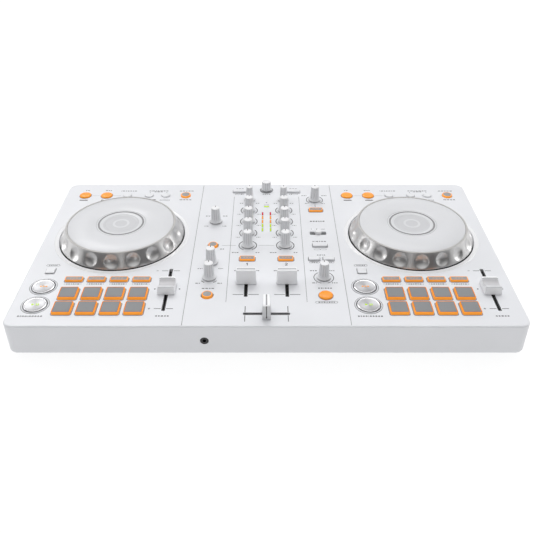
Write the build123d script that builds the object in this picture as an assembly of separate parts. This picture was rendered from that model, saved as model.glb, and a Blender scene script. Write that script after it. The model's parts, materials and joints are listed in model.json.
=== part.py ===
"""Two-deck DJ controller: case, two jog wheels, mixer section, pads, keys, faders and connectors.

Millimetres, +Z up.  The origin is at the middle of the footprint, on the surface that the feet
stand on.  +X is the right-hand side and -Y is the front edge, which faces the player.
"""
from build123d import *
import os
from math import hypot

os.makedirs("parts", exist_ok=True)

# ---------------------------------------------------------------- case
CASE_W = 482.0            # overall width
CASE_D = 272.4            # overall depth
PANEL_Z = 41.3            # the flat top panel
SKIRT_Z = 8.7             # lower edge of the cover's walls
CORNER_R = 10.0           # corners seen from above
TOP_EDGE_R = 1.5
LOWER_EDGE_R = 2.0
WALL = 3.0                # walls and top panel
PANEL_UNDER_Z = PANEL_Z - WALL
TRAY_FLOOR = 2.5          # thickness of the bottom case
TRAY_Z = 4.2              # underside of the bottom case's pan
PAN_INSET = 14.0          # the pan stands back this far from the cover's walls
RIM_GAP = 0.2             # between the bottom case and the cover's walls
SEAM_X = 77.1             # grooves that divide the mixer from the decks
SEAM_W = 0.7
SEAM_DEPTH = 0.5

FOOT_R = 9.0
FOOT_POCKET = 1.0
FOOT_PLACES = [(-200, -95), (0, -95), (200, -95), (-200, 95), (0, 95), (200, 95)]

BOSS_R = 3.4
BOSS_INSET = 9.0          # boss centres in from the outside of the case
SCREW_R = 1.5
SCREW_HEAD_R = 2.8
SCREW_HEAD_H = 1.8
SCREW_END_Z = 20.0
CASE_SCREWS = [(sx * (CASE_W / 2 - BOSS_INSET), y) for sx in (-1, 1) for y in (-124, -20, 110)]
CASE_SCREWS += [(sx * x, sy * (CASE_D / 2 - BOSS_INSET)) for sx in (-1, 1) for x, sy in ((90, -1), (120, 1))]

# ---------------------------------------------------------------- circuit boards
BOARD_Z = 27.0            # underside of the three main boards
BOARD_T = 1.6
BOARD_TOP = BOARD_Z + BOARD_T
POST_R = 3.2
BOARD_SCREW_R = 1.3
BOARD_SCREW_HEAD = (2.5, 1.5)
DECK_BOARD = (148.0, 242.0)
MIXER_BOARD = (154.0, 236.0)
PHONES_BOARD = (26.0, 27.0)
REAR_BOARD = (160.0, 29.0)
DECK_POSTS = [(-68, 90), (68, 90), (-68, -90), (47, -100)]
MIXER_POSTS = [(-70, -100), (70, -100), (-70, 85), (70, 85)]
REAR_POSTS = [(-74, 101), (0, 101), (74, 101)]

# ---------------------------------------------------------------- decks
DECK_X = 157.0            # deck centre lines, left and right of the middle
JOG_Y = 18.5
JOG_BEZEL_R = 71.5        # outer edge of the dished bezel in the panel
JOG_HOLE_R = 67.3
JOG_R = 66.5              # outside of the ring where it leaves the panel
JOG_TOP_R = 58.6          # outside of the ring at its top edge
JOG_H = 15.8              # ring above the panel
JOG_SHOULDER = 15.0
PLATTER_R = 56.4
RIM_R = 56.6
DIMPLES = 18
DIMPLE_R = 7.4
DIMPLE_DEPTH = 2.4
SPINDLE_R = 4.0
RUNNING_GAP = 0.05        # radial clearance of a shaft that turns in a bore
HUB_R = 9.0
HUB_END = -8.0            # hub's lower end, from the panel plane
SPINDLE_END = 10.0
BORE_END = 11.0

BUTTON_GAP = 0.5          # between a key and the edge of its hole
FLANGE = 1.0              # lip that keeps a key behind the panel
FLANGE_Z = (36.8, 37.8)
STEM_END_Z = 35.3
SWITCH_SIDE = 6.0
SWITCH_H = 3.4
PLUNGER_R = 1.6
PLUNGER_TOP_Z = 33.6

TOP_ROW_Y = 107.5         # row of keys behind the jog wheel
LOOP_IN_X = -60.5
LOOP_OUT_X = -35.0
BEAT_LOOP_X = -10.0
CALL_X = (16.0, 36.0)
SYNC_X = 60.0
DOME_R = 6.8
SMALL_KEY_R = 4.9
SYNC_R = 5.8
LEFT_COLUMN_X = -60.8
SHIFT_Y = -49.5
CUE_Y = -76.0
PLAY_Y = -104.7
TRANSPORT_R = 11.2
SHIFT_SIDE = 9.0
PAD_PITCH = 22.3
PAD_XS = [PAD_PITCH * (i - 1.5) for i in range(4)]
PAD_ROWS = (-88.2, -110.8)
PAD_SIZE = (17.7, 17.4)
MODE_Y = -64.7
MODE_SIZE = (17.5, 6.8)

# ---------------------------------------------------------------- faders
TEMPO_X = 60.6
TEMPO_Y = -79.5
TEMPO_SLOT = 67.7
CHANNEL_X = 20.0
CHANNEL_Y = -68.5
CHANNEL_SLOT = 46.7
CROSS_Y = -117.7
CROSS_SLOT = 43.6
SLOT_W = 3.6
SLOT_CORNER_R = 0.8
CAP_GAP = 0.6             # under each fader cap and knob
LEVER = (4.0, 1.2)        # along and across the travel
LEVER_TOP = 3.0
LEVER_END_Z = 31.5
TRACK_W = 10.0
TRACK_TOP_Z = 37.8
TRACK_SLOT_W = 2.0
TRACK_FLOOR_Z = 31.0
TRACK_SPARE = 9.0
CAP_FOOT = (18.9, 8.3)
CAP_WAIST = (18.4, 7.4)
CAP_TOP = (17.6, 6.6)
CHANNEL_CAP_EXTRA = 1.5    # a channel fader's cap is this much longer than the crossfader's
CAP_WAIST_H = 4.0
CAP_H = 16.4
CAP_CORNER_R = 0.9
CAP_GROOVE = (1.1, 0.5)   # width and depth of the line along the top
TEMPO_CAP_FOOT = (16.6, 20.0)
TEMPO_CAP_TOP = (15.0, 17.6)
TEMPO_CAP_H = 9.0
DISH_R = 14.0
DISH_DEPTH = 2.6

# ---------------------------------------------------------------- knobs
KNOB_H = 18.0
KNOB_SIZES = (7.2, 5.1, 4.35)       # radii of the skirt, the waist and the top
SLIM_KNOB_SIZES = (6.8, 4.2, 3.4)
BROWSE_KNOB_SIZES = (6.5, 5.7, 5.3)
KNOB_RIM_H = 0.9          # height of the skirt's upright edge
KNOB_WAIST_H = 4.8        # the skirt ends here
BROWSE_WAIST_H = 2.8
KNOB_TOP_EDGE = 0.6
FLUTES = 12
FLUTE_R = 0.5
SHAFT_R = 2.0
SHAFT_END_Z = 30.8
SHAFT_ROOF = 4.0          # the shaft stops this far below the knob's top
POT_SIDE = 10.0
POT_TOP_Z = 35.1
BUSH_R = 3.2
BUSH_TOP_Z = 40.8
BUSH_HOLE_R = 3.7
POT_FLOOR_Z = 30.4
BROWSE_Y = 121.5
BROWSE_H = 12.0
BROWSE_GAP = 1.0
BROWSE_SHAFT_R = 2.5
BROWSE_SHAFT_END_Z = 31.4
BROWSE_SHAFT_TOP = 8.5
BROWSE_BORE_TOP = 9.0

CHANNEL_KNOBS = {"trim": 97.0, "high": 72.2, "mid": 47.5, "low": 22.9, "filter": -2.0}
LEFT_X = -57.0
RIGHT_X = 57.0
SINGLE_KNOBS = {
    "master_level_knob": (LEFT_X, 47.5),
    "phones_mix_knob": (LEFT_X, -34.0),
    "phones_level_knob": (LEFT_X, -60.5),
    "mic_level_knob": (RIGHT_X, 97.0),
    "effect_depth_knob": (RIGHT_X, -60.5),
}

# ---------------------------------------------------------------- mixer keys
WIDE_KEY = (15.6, 7.0)
LOAD_KEYS = [(-32.5, 117.8), (32.5, 117.8)]
CHANNEL_CUES = [(-CHANNEL_X, -28.0), (CHANNEL_X, -28.0)]
MASTER_CUE = (LEFT_X, -2.0)
MASTER_CUE_R = 5.6
SMART_FADER = (LEFT_X, -89.6)
SMART_FILTER = (RIGHT_X, 72.2)
EFFECT_SELECT = (RIGHT_X, -2.0)
BEAT_KEYS = [(49.4, -27.8), (64.2, -27.8)]
BEAT_KEY = (11.3, 7.0)
EFFECT_ON = (RIGHT_X, -90.0)
SWITCH_PLACE = (56.6, 22.8)
SWITCH_SLOT = (18.2, 6.5)
LEVER_BASE = (7.0, 5.6)
LEVER_TIP = (5.6, 4.4)
LEVER_H = 3.2

METER_XS = (-4.5, 4.5)
METER_FRONT_Y = 29.9
METER_PITCH = 8.7
METER_SEGMENTS = 5
METER_SEGMENT = (1.3, 6.5)
INDICATOR = (0.0, 83.4, 5.6, 7.0)
LENS_PROUD = 0.1
LENS_END_Z = 30.0
LENS_GAP = 0.1

# ---------------------------------------------------------------- connectors
BAY_X = 74.0              # half width of the recess in the rear wall
BAY_Z = (13.4, 26.2)
BAY_FLOOR_Y = 127.0
BAY_WALL = 2.0
PORT_Z = 19.8             # height of the connectors' axes
REAR_BOARD_Z = 12.4
PHONES_BOARD_Z = 17.7
JACK_TOP_Z = 26.4
USB_X = -48.0
USB_OUTER = (9.0, 3.2)
USB_INNER = (8.4, 2.6)
RCA_XS = (-14.0, 6.0)
RCA_R = 4.15
RCA_PIN_R = 1.7
RCA_END_Y = 135.0
MIC_X = 48.0
MIC_BORE_R = 3.2
MIC_BORE_END_Y = 104.0
MIC_END_Y = 128.0
MIC_NUT_R = 6.2
PHONES_X = LEFT_X
PHONES_Z = PANEL_Z - 17.0
PHONES_BORE_R = 1.8
PHONES_BORE_END_Y = -121.0
PHONES_BUSH_R = 4.0
LOCK_SLOT = (-200.0, 22.0, 7.0, 3.0)


# ================================================================ helpers
def block(x0, x1, y0, y1, z0, z1):
    """A box between six planes."""
    size = (x1 - x0, y1 - y0, z1 - z0)
    return Pos((x0 + x1) / 2, (y0 + y1) / 2, (z0 + z1) / 2) * Box(*size)


def drum(x, y, z0, z1, r):
    """An upright cylinder between two heights."""
    return Pos(x, y, (z0 + z1) / 2) * Cylinder(r, z1 - z0)


def rod(x, z, y0, y1, r):
    """A cylinder that lies along Y."""
    return Pos(x, (y0 + y1) / 2, z) * Rot(90, 0, 0) * Cylinder(r, y1 - y0)


def slab(x, y, z0, z1, w, d, r):
    """An upright prism on a rounded rectangle."""
    return Pos(x, y, z0) * extrude(RectangleRounded(w, d, r), z1 - z0)


def turned(points):
    """A solid of revolution about Z from a closed outline of radius and height."""
    return revolve(Plane.XZ * make_face(Polyline(*points, close=True)), Axis.Z)


def softened_top(solid, r):
    """Round the edges of a solid's highest face."""
    return fillet(solid.edges().group_by(Axis.Z)[-1], r)


def save(name, solids):
    """Write one node: a single solid or a group of separate solids."""
    solids = solids if isinstance(solids, list) else [solids]
    shape = solids[0] if len(solids) == 1 else Compound(children=solids)
    export_step(shape, f"parts/{name}.step")


# ================================================================ keys and buttons
def key(x, y, size, height, corner=1.2, edge=0.7):
    """A rectangular key: cap, lip behind the panel, and stem."""
    w, d = size
    top = PANEL_Z + height
    cap = softened_top(slab(0, 0, FLANGE_Z[0], top, w, d, corner), edge)
    lip = slab(0, 0, *FLANGE_Z, w + 2 * FLANGE, d + 2 * FLANGE, corner)
    stem = drum(0, 0, STEM_END_Z, FLANGE_Z[1], PLUNGER_R)
    return Pos(x, y, 0) * (cap + lip + stem)


def round_key(x, y, r, height, edge=0.7):
    """A round button: cap, lip behind the panel, and stem."""
    top = PANEL_Z + height
    cap = softened_top(drum(0, 0, FLANGE_Z[0], top, r), edge)
    lip = drum(0, 0, *FLANGE_Z, r + FLANGE)
    stem = drum(0, 0, STEM_END_Z, FLANGE_Z[1], PLUNGER_R)
    return Pos(x, y, 0) * (cap + lip + stem)


def key_hole(x, y, size, corner=1.2):
    w, d = size
    return slab(x, y, PANEL_UNDER_Z - 1, PANEL_Z + 1, w + 2 * BUTTON_GAP, d + 2 * BUTTON_GAP, corner)


def round_hole(x, y, r):
    return drum(x, y, PANEL_UNDER_Z - 1, PANEL_Z + 1, r + BUTTON_GAP)


def tact_switch(x, y):
    """The small push switch under a key, on the circuit board."""
    half = SWITCH_SIDE / 2
    body = block(x - half, x + half, y - half, y + half, BOARD_TOP, BOARD_TOP + SWITCH_H)
    return body + drum(x, y, BOARD_TOP + SWITCH_H, PLUNGER_TOP_Z, PLUNGER_R)


ROUND_DECK_KEYS = [(LOOP_IN_X, TOP_ROW_Y, DOME_R), (LOOP_OUT_X, TOP_ROW_Y, DOME_R)]
ROUND_DECK_KEYS += [(x, TOP_ROW_Y, SMALL_KEY_R) for x in (BEAT_LOOP_X, *CALL_X)]
ROUND_DECK_KEYS += [(SYNC_X, TOP_ROW_Y, SYNC_R)]
ROUND_DECK_KEYS += [(LEFT_COLUMN_X, y, TRANSPORT_R) for y in (CUE_Y, PLAY_Y)]
SQUARE_DECK_KEYS = [(x, MODE_Y, MODE_SIZE) for x in PAD_XS]
SQUARE_DECK_KEYS += [(x, y, PAD_SIZE) for y in PAD_ROWS for x in PAD_XS]
SQUARE_DECK_KEYS += [(LEFT_COLUMN_X, SHIFT_Y, (SHIFT_SIDE, SHIFT_SIDE))]
ROUND_MIXER_KEYS = [(*MASTER_CUE, MASTER_CUE_R), (*SMART_FADER, SYNC_R), (*EFFECT_ON, DOME_R)]
SQUARE_MIXER_KEYS = [(x, y, WIDE_KEY) for x, y in LOAD_KEYS + CHANNEL_CUES + [SMART_FILTER, EFFECT_SELECT]]
SQUARE_MIXER_KEYS += [(x, y, BEAT_KEY) for x, y in BEAT_KEYS]
DECKS = {1: -DECK_X, 2: DECK_X}
ROUND_KEYS = [(cx + x, y, r) for cx in DECKS.values() for x, y, r in ROUND_DECK_KEYS] + ROUND_MIXER_KEYS
SQUARE_KEYS = [(cx + x, y, s) for cx in DECKS.values() for x, y, s in SQUARE_DECK_KEYS] + SQUARE_MIXER_KEYS

KNOB_PLACES = {f"{name}_knob_{n}": (sx * CHANNEL_X, y)
               for n, sx in ((1, -1), (2, 1)) for name, y in CHANNEL_KNOBS.items()}
KNOB_PLACES.update(SINGLE_KNOBS)


# ================================================================ knobs
def flared_body(sizes, base, waist_h, height):
    """A knob's outside: a flared skirt that sweeps into a tapered grip."""
    skirt, waist, top = sizes
    rim = base + KNOB_RIM_H
    middle = (waist + 0.35 * (skirt - waist), rim + 0.35 * (waist_h - rim))
    flare = ThreePointArc((skirt, rim), middle, (waist, waist_h))
    outline = Polyline((waist, waist_h), (top, height - KNOB_TOP_EDGE), (top - KNOB_TOP_EDGE, height),
                       (0, height), (0, base), (skirt, base), (skirt, rim))
    return revolve(Plane.XZ * make_face(outline + flare), Axis.Z)


def flutes(sizes, waist_h, height):
    """Upright grooves all round a tapered grip."""
    _, waist, top = sizes
    low = waist_h + 0.6
    lean = (waist - top) / (height - waist_h)
    length = height - low + 2
    middle = waist - lean * (low + length / 2 - waist_h) + 0.15
    groove = Pos(middle, 0, low + length / 2) * Rot(0, -degrees_of(lean), 0) * Cylinder(FLUTE_R, length)
    return [Rot(0, 0, 360 / FLUTES * i) * groove for i in range(FLUTES)]


def degrees_of(slope):
    return Vector(1, 0, 0).get_angle(Vector(1, slope, 0))


def knob(sizes):
    """A level knob and the steel shaft that it is pushed onto, at the panel's height."""
    cap = flared_body(sizes, CAP_GAP, KNOB_WAIST_H, KNOB_H) - flutes(sizes, KNOB_WAIST_H, KNOB_H)
    cap = cap - drum(0, 0, 0, KNOB_H - SHAFT_ROOF, SHAFT_R)
    shaft = drum(0, 0, SHAFT_END_Z - PANEL_Z, KNOB_H - SHAFT_ROOF, SHAFT_R)
    return [Pos(0, 0, PANEL_Z) * cap, Pos(0, 0, PANEL_Z) * shaft]


def pot(x, y, bore_r, bush_r=BUSH_R):
    """The body of a rotary control, with the bush that its shaft turns in."""
    half = POT_SIDE / 2
    body = block(x - half, x + half, y - half, y + half, BOARD_TOP, POT_TOP_Z)
    body = body + drum(x, y, POT_TOP_Z, BUSH_TOP_Z, bush_r)
    return body - drum(x, y, POT_FLOOR_Z, BUSH_TOP_Z + 1, bore_r)


def make_knobs():
    standard = knob(KNOB_SIZES)
    slim = knob(SLIM_KNOB_SIZES)
    for name, (x, y) in KNOB_PLACES.items():
        shape = slim if name.startswith("trim") else standard
        save(name, [Pos(x, y, 0) * solid for solid in shape])
    pots = [pot(x, y, SHAFT_R + RUNNING_GAP) for x, y in KNOB_PLACES.values()]
    pots.append(pot(0, BROWSE_Y, BROWSE_SHAFT_R + RUNNING_GAP, BUSH_R + 0.2))
    save("rotary_pots", pots)


def make_browse():
    """The browse encoder: a shaft that is pressed, and a knob that turns on it."""
    cap = flared_body(BROWSE_KNOB_SIZES, BROWSE_GAP, BROWSE_WAIST_H, BROWSE_H)
    cap = cap - flutes(BROWSE_KNOB_SIZES, BROWSE_WAIST_H, BROWSE_H)
    cap = cap - drum(0, 0, 0, BROWSE_BORE_TOP, BROWSE_SHAFT_R + RUNNING_GAP)
    save("browse_knob", Pos(0, BROWSE_Y, PANEL_Z) * cap)
    save("browse_shaft", drum(0, BROWSE_Y, BROWSE_SHAFT_END_Z, PANEL_Z + BROWSE_SHAFT_TOP, BROWSE_SHAFT_R))


# ================================================================ faders
def lever_blade(top):
    long, thin = LEVER
    return block(-long / 2, long / 2, -thin / 2, thin / 2, LEVER_END_Z - PANEL_Z, top)


def tower_cap(extra=0.0):
    """A tall cap that travels along X, and the lever that carries it."""
    levels = ((CAP_GAP, CAP_FOOT), (CAP_WAIST_H, CAP_WAIST), (CAP_H, CAP_TOP))
    sections = []
    for z, (long, thin) in levels:
        sections.append(Pos(0, 0, z) * RectangleRounded(thin, long + extra, CAP_CORNER_R))
    cap = loft(sections, ruled=True)
    half, depth = CAP_GROOVE[0] / 2, CAP_GROOVE[1]
    cap = cap - block(-half, half, -CAP_FOOT[0], CAP_FOOT[0], CAP_H - depth, CAP_H + 1)
    blade = lever_blade(LEVER_TOP)
    return [Pos(0, 0, PANEL_Z) * (cap - blade), Pos(0, 0, PANEL_Z) * blade]


def saddle_cap():
    """The low, dished tempo cap, which travels along Y, and its lever."""
    cap = loft([Pos(0, 0, CAP_GAP) * RectangleRounded(*TEMPO_CAP_FOOT, 2.0),
                Pos(0, 0, TEMPO_CAP_H) * RectangleRounded(*TEMPO_CAP_TOP, 2.0)])
    dish = Pos(0, 0, TEMPO_CAP_H + DISH_R - DISH_DEPTH) * Rot(0, 90, 0) * Cylinder(DISH_R, 40)
    rib_h = 0.7
    rib = block(-7.0, 7.0, -0.7, 0.7, TEMPO_CAP_H - DISH_DEPTH - 1, TEMPO_CAP_H - DISH_DEPTH + rib_h)
    blade = Rot(0, 0, 90) * lever_blade(LEVER_TOP)
    return [Pos(0, 0, PANEL_Z) * (cap - dish + rib - blade), Pos(0, 0, PANEL_Z) * blade]


def track(x, y, slot, turn):
    """A slide control under the panel, open along its top for the lever."""
    length = slot + TRACK_SPARE
    body = block(-length / 2, length / 2, -TRACK_W / 2, TRACK_W / 2, BOARD_TOP, TRACK_TOP_Z)
    half = TRACK_SLOT_W / 2
    body = body - block(-slot / 2, slot / 2, -half, half, TRACK_FLOOR_Z, TRACK_TOP_Z + 1)
    return Pos(x, y, 0) * Rot(0, 0, turn) * body


def fader_slot(x, y, length, turn):
    opening = extrude(RectangleRounded(length, SLOT_W, SLOT_CORNER_R), WALL + 2)
    return Pos(x, y, PANEL_UNDER_Z - 1) * Rot(0, 0, turn) * opening


FADER_PLACES = [(0.0, CROSS_Y, CROSS_SLOT, 0)]
FADER_PLACES += [(sx * CHANNEL_X, CHANNEL_Y, CHANNEL_SLOT, 90) for sx in (-1, 1)]
FADER_PLACES += [(cx + TEMPO_X, TEMPO_Y, TEMPO_SLOT, 90) for cx in DECKS.values()]


def make_faders():
    save("crossfader_cap", [Pos(0, CROSS_Y, 0) * solid for solid in tower_cap()])
    for n, sx in ((1, -1), (2, 1)):
        place = Pos(sx * CHANNEL_X, CHANNEL_Y, 0) * Rot(0, 0, 90)
        save(f"channel_fader_cap_{n}", [place * solid for solid in tower_cap(CHANNEL_CAP_EXTRA)])
    for n, cx in DECKS.items():
        save(f"tempo_fader_cap_{n}", [Pos(cx + TEMPO_X, TEMPO_Y, 0) * solid for solid in saddle_cap()])
    save("fader_tracks", [track(*place) for place in FADER_PLACES])


# ================================================================ jog wheels
def jog_ring():
    """The turning ring round a platter, with a row of round dimples in its sloping side."""
    ledge = 12.7
    outline = [(JOG_R, -3.0), (JOG_R, 0.5), (JOG_TOP_R, JOG_SHOULDER), (JOG_TOP_R - 0.8, JOG_H),
               (RIM_R, JOG_H), (RIM_R, ledge), (RIM_R - 4.0, ledge), (RIM_R - 4.0, ledge - 1.7),
               (RIM_R - 0.7, ledge - 1.7), (JOG_R - 4.9, 0.5), (JOG_R - 4.9, -3.0)]
    ring = turned(outline)
    run = JOG_R - JOG_TOP_R
    rise = JOG_SHOULDER - 0.5
    slant = hypot(run, rise)
    ball_r = (DIMPLE_R ** 2 + DIMPLE_DEPTH ** 2) / (2 * DIMPLE_DEPTH)
    stand_off = ball_r - DIMPLE_DEPTH
    ball_x = (JOG_R + JOG_TOP_R) / 2 + stand_off * rise / slant
    ball_z = (JOG_SHOULDER + 0.5) / 2 + stand_off * run / slant
    ball = Pos(ball_x, 0, ball_z) * Sphere(ball_r)
    return ring - [Rot(0, 0, 360 / DIMPLES * i - 90) * ball for i in range(DIMPLES)]


def jog_platter():
    """The flat disc on top, with its hub, stiffening ribs and decorative rings."""
    top = JOG_H - 0.2
    ledge = 12.7
    bore = SPINDLE_R + RUNNING_GAP
    outline = [(bore, HUB_END), (HUB_R, HUB_END), (HUB_R, ledge), (PLATTER_R, ledge), (PLATTER_R, top - 0.4),
               (PLATTER_R - 0.4, top), (24.1, top), (24.1, top - 0.6), (22.9, top - 0.6), (22.9, top),
               (19.7, top), (19.7, top - 0.4), (0, top - 0.4), (0, BORE_END), (bore, BORE_END)]
    disc = turned(outline)
    rib = block(HUB_R - 0.5, RIM_R - 5.0, -0.8, 0.8, ledge - 3.5, ledge + 0.5)
    return disc + [Rot(0, 0, 60 * i) * rib for i in range(6)]


def spindle(x):
    """The fixed post that a jog wheel turns on."""
    foot = drum(x, JOG_Y, BOARD_TOP, BOARD_TOP + 2.0, 14.0)
    shoulder = drum(x, JOG_Y, BOARD_TOP, PANEL_Z + HUB_END - 0.1, 6.0)
    return foot + shoulder + drum(x, JOG_Y, BOARD_TOP, PANEL_Z + SPINDLE_END, SPINDLE_R)


def make_jog_wheels():
    ring = jog_ring()
    platter = jog_platter()
    for n, cx in DECKS.items():
        place = Pos(cx, JOG_Y, PANEL_Z)
        save(f"jog_ring_{n}", place * ring)
        save(f"jog_platter_{n}", place * platter)
    save("jog_spindles", [spindle(cx) for cx in DECKS.values()])


def jog_well(cx):
    """The hole for a jog wheel, with the shallow dish round it."""
    dish = turned([(0, -1.2), (JOG_HOLE_R, -1.2), (JOG_BEZEL_R, 0), (JOG_BEZEL_R, 0.5), (0, 0.5)])
    return Pos(cx, JOG_Y, PANEL_Z) * (dish + drum(0, 0, -WALL - 1, 0, JOG_HOLE_R))


# ================================================================ keys by node
def make_keys():
    for n, cx in DECKS.items():
        save(f"pads_{n}", [key(cx + x, y, PAD_SIZE, 3.0) for y in PAD_ROWS for x in PAD_XS])
        save(f"mode_keys_{n}", [key(cx + x, MODE_Y, MODE_SIZE, 2.3) for x in PAD_XS])
        save(f"shift_button_{n}", key(cx + LEFT_COLUMN_X, SHIFT_Y, (SHIFT_SIDE, SHIFT_SIDE), 1.3, 2.2, 0.5))
        save(f"cue_button_{n}", round_key(cx + LEFT_COLUMN_X, CUE_Y, TRANSPORT_R, 1.6, 0.6))
        save(f"play_button_{n}", round_key(cx + LEFT_COLUMN_X, PLAY_Y, TRANSPORT_R, 1.6, 0.6))
        domes = [round_key(cx + x, TOP_ROW_Y, DOME_R, 2.2, 1.4) for x in (LOOP_IN_X, LOOP_OUT_X)]
        small = [round_key(cx + x, TOP_ROW_Y, SMALL_KEY_R, 1.6, 0.6) for x in (BEAT_LOOP_X, *CALL_X)]
        save(f"loop_keys_{n}", domes + small)
        save(f"sync_button_{n}", round_key(cx + SYNC_X, TOP_ROW_Y, SYNC_R, 2.0))
    save("load_keys", [key(x, y, WIDE_KEY, 2.2) for x, y in LOAD_KEYS])
    cues = [key(x, y, WIDE_KEY, 2.2) for x, y in CHANNEL_CUES]
    save("phones_cue_keys", cues + [round_key(*MASTER_CUE, MASTER_CUE_R, 2.0)])
    save("smart_keys", [key(*SMART_FILTER, WIDE_KEY, 2.2), round_key(*SMART_FADER, SYNC_R, 2.0)])
    beats = [key(x, y, BEAT_KEY, 2.0) for x, y in BEAT_KEYS]
    save("effect_keys", [key(*EFFECT_SELECT, WIDE_KEY, 2.0)] + beats)
    save("effect_on_button", round_key(*EFFECT_ON, DOME_R, 2.2, 1.4))


def make_effect_switch():
    """The three-way slide lever that picks the channel for the effect."""
    x, y = SWITCH_PLACE
    tip = loft([Pos(0, 0, -1.5) * RectangleRounded(*LEVER_BASE, 0.8),
                Pos(0, 0, LEVER_H) * RectangleRounded(*LEVER_TIP, 0.8)])
    ridge = block(-3.5, 3.5, -0.3, 0.3, LEVER_H - 0.4, LEVER_H + 1)
    stem = block(-1.0, 1.0, -1.0, 1.0, 32.0 - PANEL_Z, -1.0)
    save("effect_channel_switch", Pos(x, y, PANEL_Z) * (tip - ridge + stem))


def slide_switch_body():
    x, y = SWITCH_PLACE
    body = block(x - 11, x + 11, y - 4.5, y + 4.5, BOARD_TOP, 35.5)
    return body - block(x - 8, x + 8, y - 1.6, y + 1.6, 31.4, 36.5)


def make_switches():
    places = [(x, y) for x, y, _ in ROUND_KEYS + SQUARE_KEYS]
    save("key_switches", [tact_switch(x, y) for x, y in places] + [slide_switch_body()])


# ================================================================ meters
LENSES = [(x, METER_FRONT_Y + METER_PITCH * i, *METER_SEGMENT)
          for x in METER_XS for i in range(METER_SEGMENTS)]
LENSES.append(INDICATOR)


def make_lenses():
    top = PANEL_Z + LENS_PROUD
    save("meter_lenses",
         [block(x - w / 2, x + w / 2, y - d / 2, y + d / 2, LENS_END_Z, top) for x, y, w, d in LENSES])


# ================================================================ case
def panel_openings():
    """Everything that is cut through the top panel."""
    tools = [jog_well(cx) for cx in DECKS.values()]
    tools += [round_hole(x, y, r) for x, y, r in ROUND_KEYS]
    tools += [key_hole(x, y, size) for x, y, size in SQUARE_KEYS]
    tools += [fader_slot(*place) for place in FADER_PLACES]
    bushes = list(KNOB_PLACES.values()) + [(0, BROWSE_Y)]
    tools += [drum(x, y, PANEL_UNDER_Z - 1, PANEL_Z + 1, BUSH_HOLE_R) for x, y in bushes]
    tools += [slab(*SWITCH_PLACE, PANEL_UNDER_Z - 1, PANEL_Z + 1, *SWITCH_SLOT, 1.5)]
    for x, y, w, d in LENSES:
        half_w = w / 2 + LENS_GAP
        half_d = d / 2 + LENS_GAP
        tools.append(block(x - half_w, x + half_w, y - half_d, y + half_d, PANEL_UNDER_Z - 1, PANEL_Z + 1))
    return tools


def wall_openings():
    """Holes in the front and rear walls and in the floor of the connector bay."""
    x, z, w, h = LOCK_SLOT
    lock = Pos(x, CASE_D / 2, z) * Rot(90, 0, 0) * extrude(SlotOverall(w, h), 6, both=True)
    usb = Pos(USB_X, BAY_FLOOR_Y, PORT_Z) * Rot(90, 0, 0)
    usb = usb * extrude(SlotOverall(USB_OUTER[0] + 0.4, USB_OUTER[1] + 0.4), 4, both=True)
    holes = [lock, usb, rod(PHONES_X, PHONES_Z, -CASE_D / 2 - 1, -CASE_D / 2 + WALL + 1, PHONES_BUSH_R + 0.1)]
    holes += [rod(rx, PORT_Z, BAY_FLOOR_Y - 4, BAY_FLOOR_Y + 1, RCA_R + 0.6) for rx in RCA_XS]
    holes.append(rod(MIC_X, PORT_Z, BAY_FLOOR_Y - 4, BAY_FLOOR_Y + 1, 5.6))
    return holes


def make_top_cover():
    """The upper shell: top panel, walls, screw bosses and the recessed connector bay."""
    shell = slab(0, 0, SKIRT_Z, PANEL_Z, CASE_W, CASE_D, CORNER_R)
    shell = fillet(shell.edges().group_by(Axis.Z)[-1], TOP_EDGE_R)
    shell = fillet(shell.edges().group_by(Axis.Z)[0], LOWER_EDGE_R)
    inside = slab(0, 0, SKIRT_Z - 1, PANEL_UNDER_Z, CASE_W - 2 * WALL, CASE_D - 2 * WALL, CORNER_R - WALL)
    shell = shell - inside
    boss_base = SKIRT_Z + TRAY_FLOOR
    shell = shell + [drum(x, y, boss_base, PANEL_UNDER_Z + 0.5, BOSS_R) for x, y in CASE_SCREWS]
    bay_front = BAY_FLOOR_Y - BAY_WALL
    rear = CASE_D / 2
    shell = shell + block(-BAY_X - BAY_WALL, BAY_X + BAY_WALL, bay_front, rear - 1,
                          BAY_Z[0] - BAY_WALL, BAY_Z[1] + BAY_WALL)
    shell = shell - block(-BAY_X, BAY_X, BAY_FLOOR_Y, rear + 1, *BAY_Z)
    shell = shell - wall_openings()
    shell = shell - [drum(x, y, boss_base - 1, SCREW_END_Z, SCREW_R) for x, y in CASE_SCREWS]
    shell = shell - panel_openings()
    grooves = [block(x - SEAM_W / 2, x + SEAM_W / 2, -CASE_D, CASE_D, PANEL_Z - SEAM_DEPTH, PANEL_Z + 1)
               for x in (-SEAM_X, SEAM_X)]
    save("top_cover", shell - grooves)


BOARD_POSTS = [(cx + x, y, BOARD_Z) for cx in DECKS.values() for x, y in DECK_POSTS]
BOARD_POSTS += [(x, y, BOARD_Z) for x, y in MIXER_POSTS]
BOARD_POSTS += [(x, y, REAR_BOARD_Z) for x, y in REAR_POSTS]
BOARD_POSTS += [(PHONES_X + dx, -109.0, PHONES_BOARD_Z) for dx in (-9, 9)]


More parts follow.
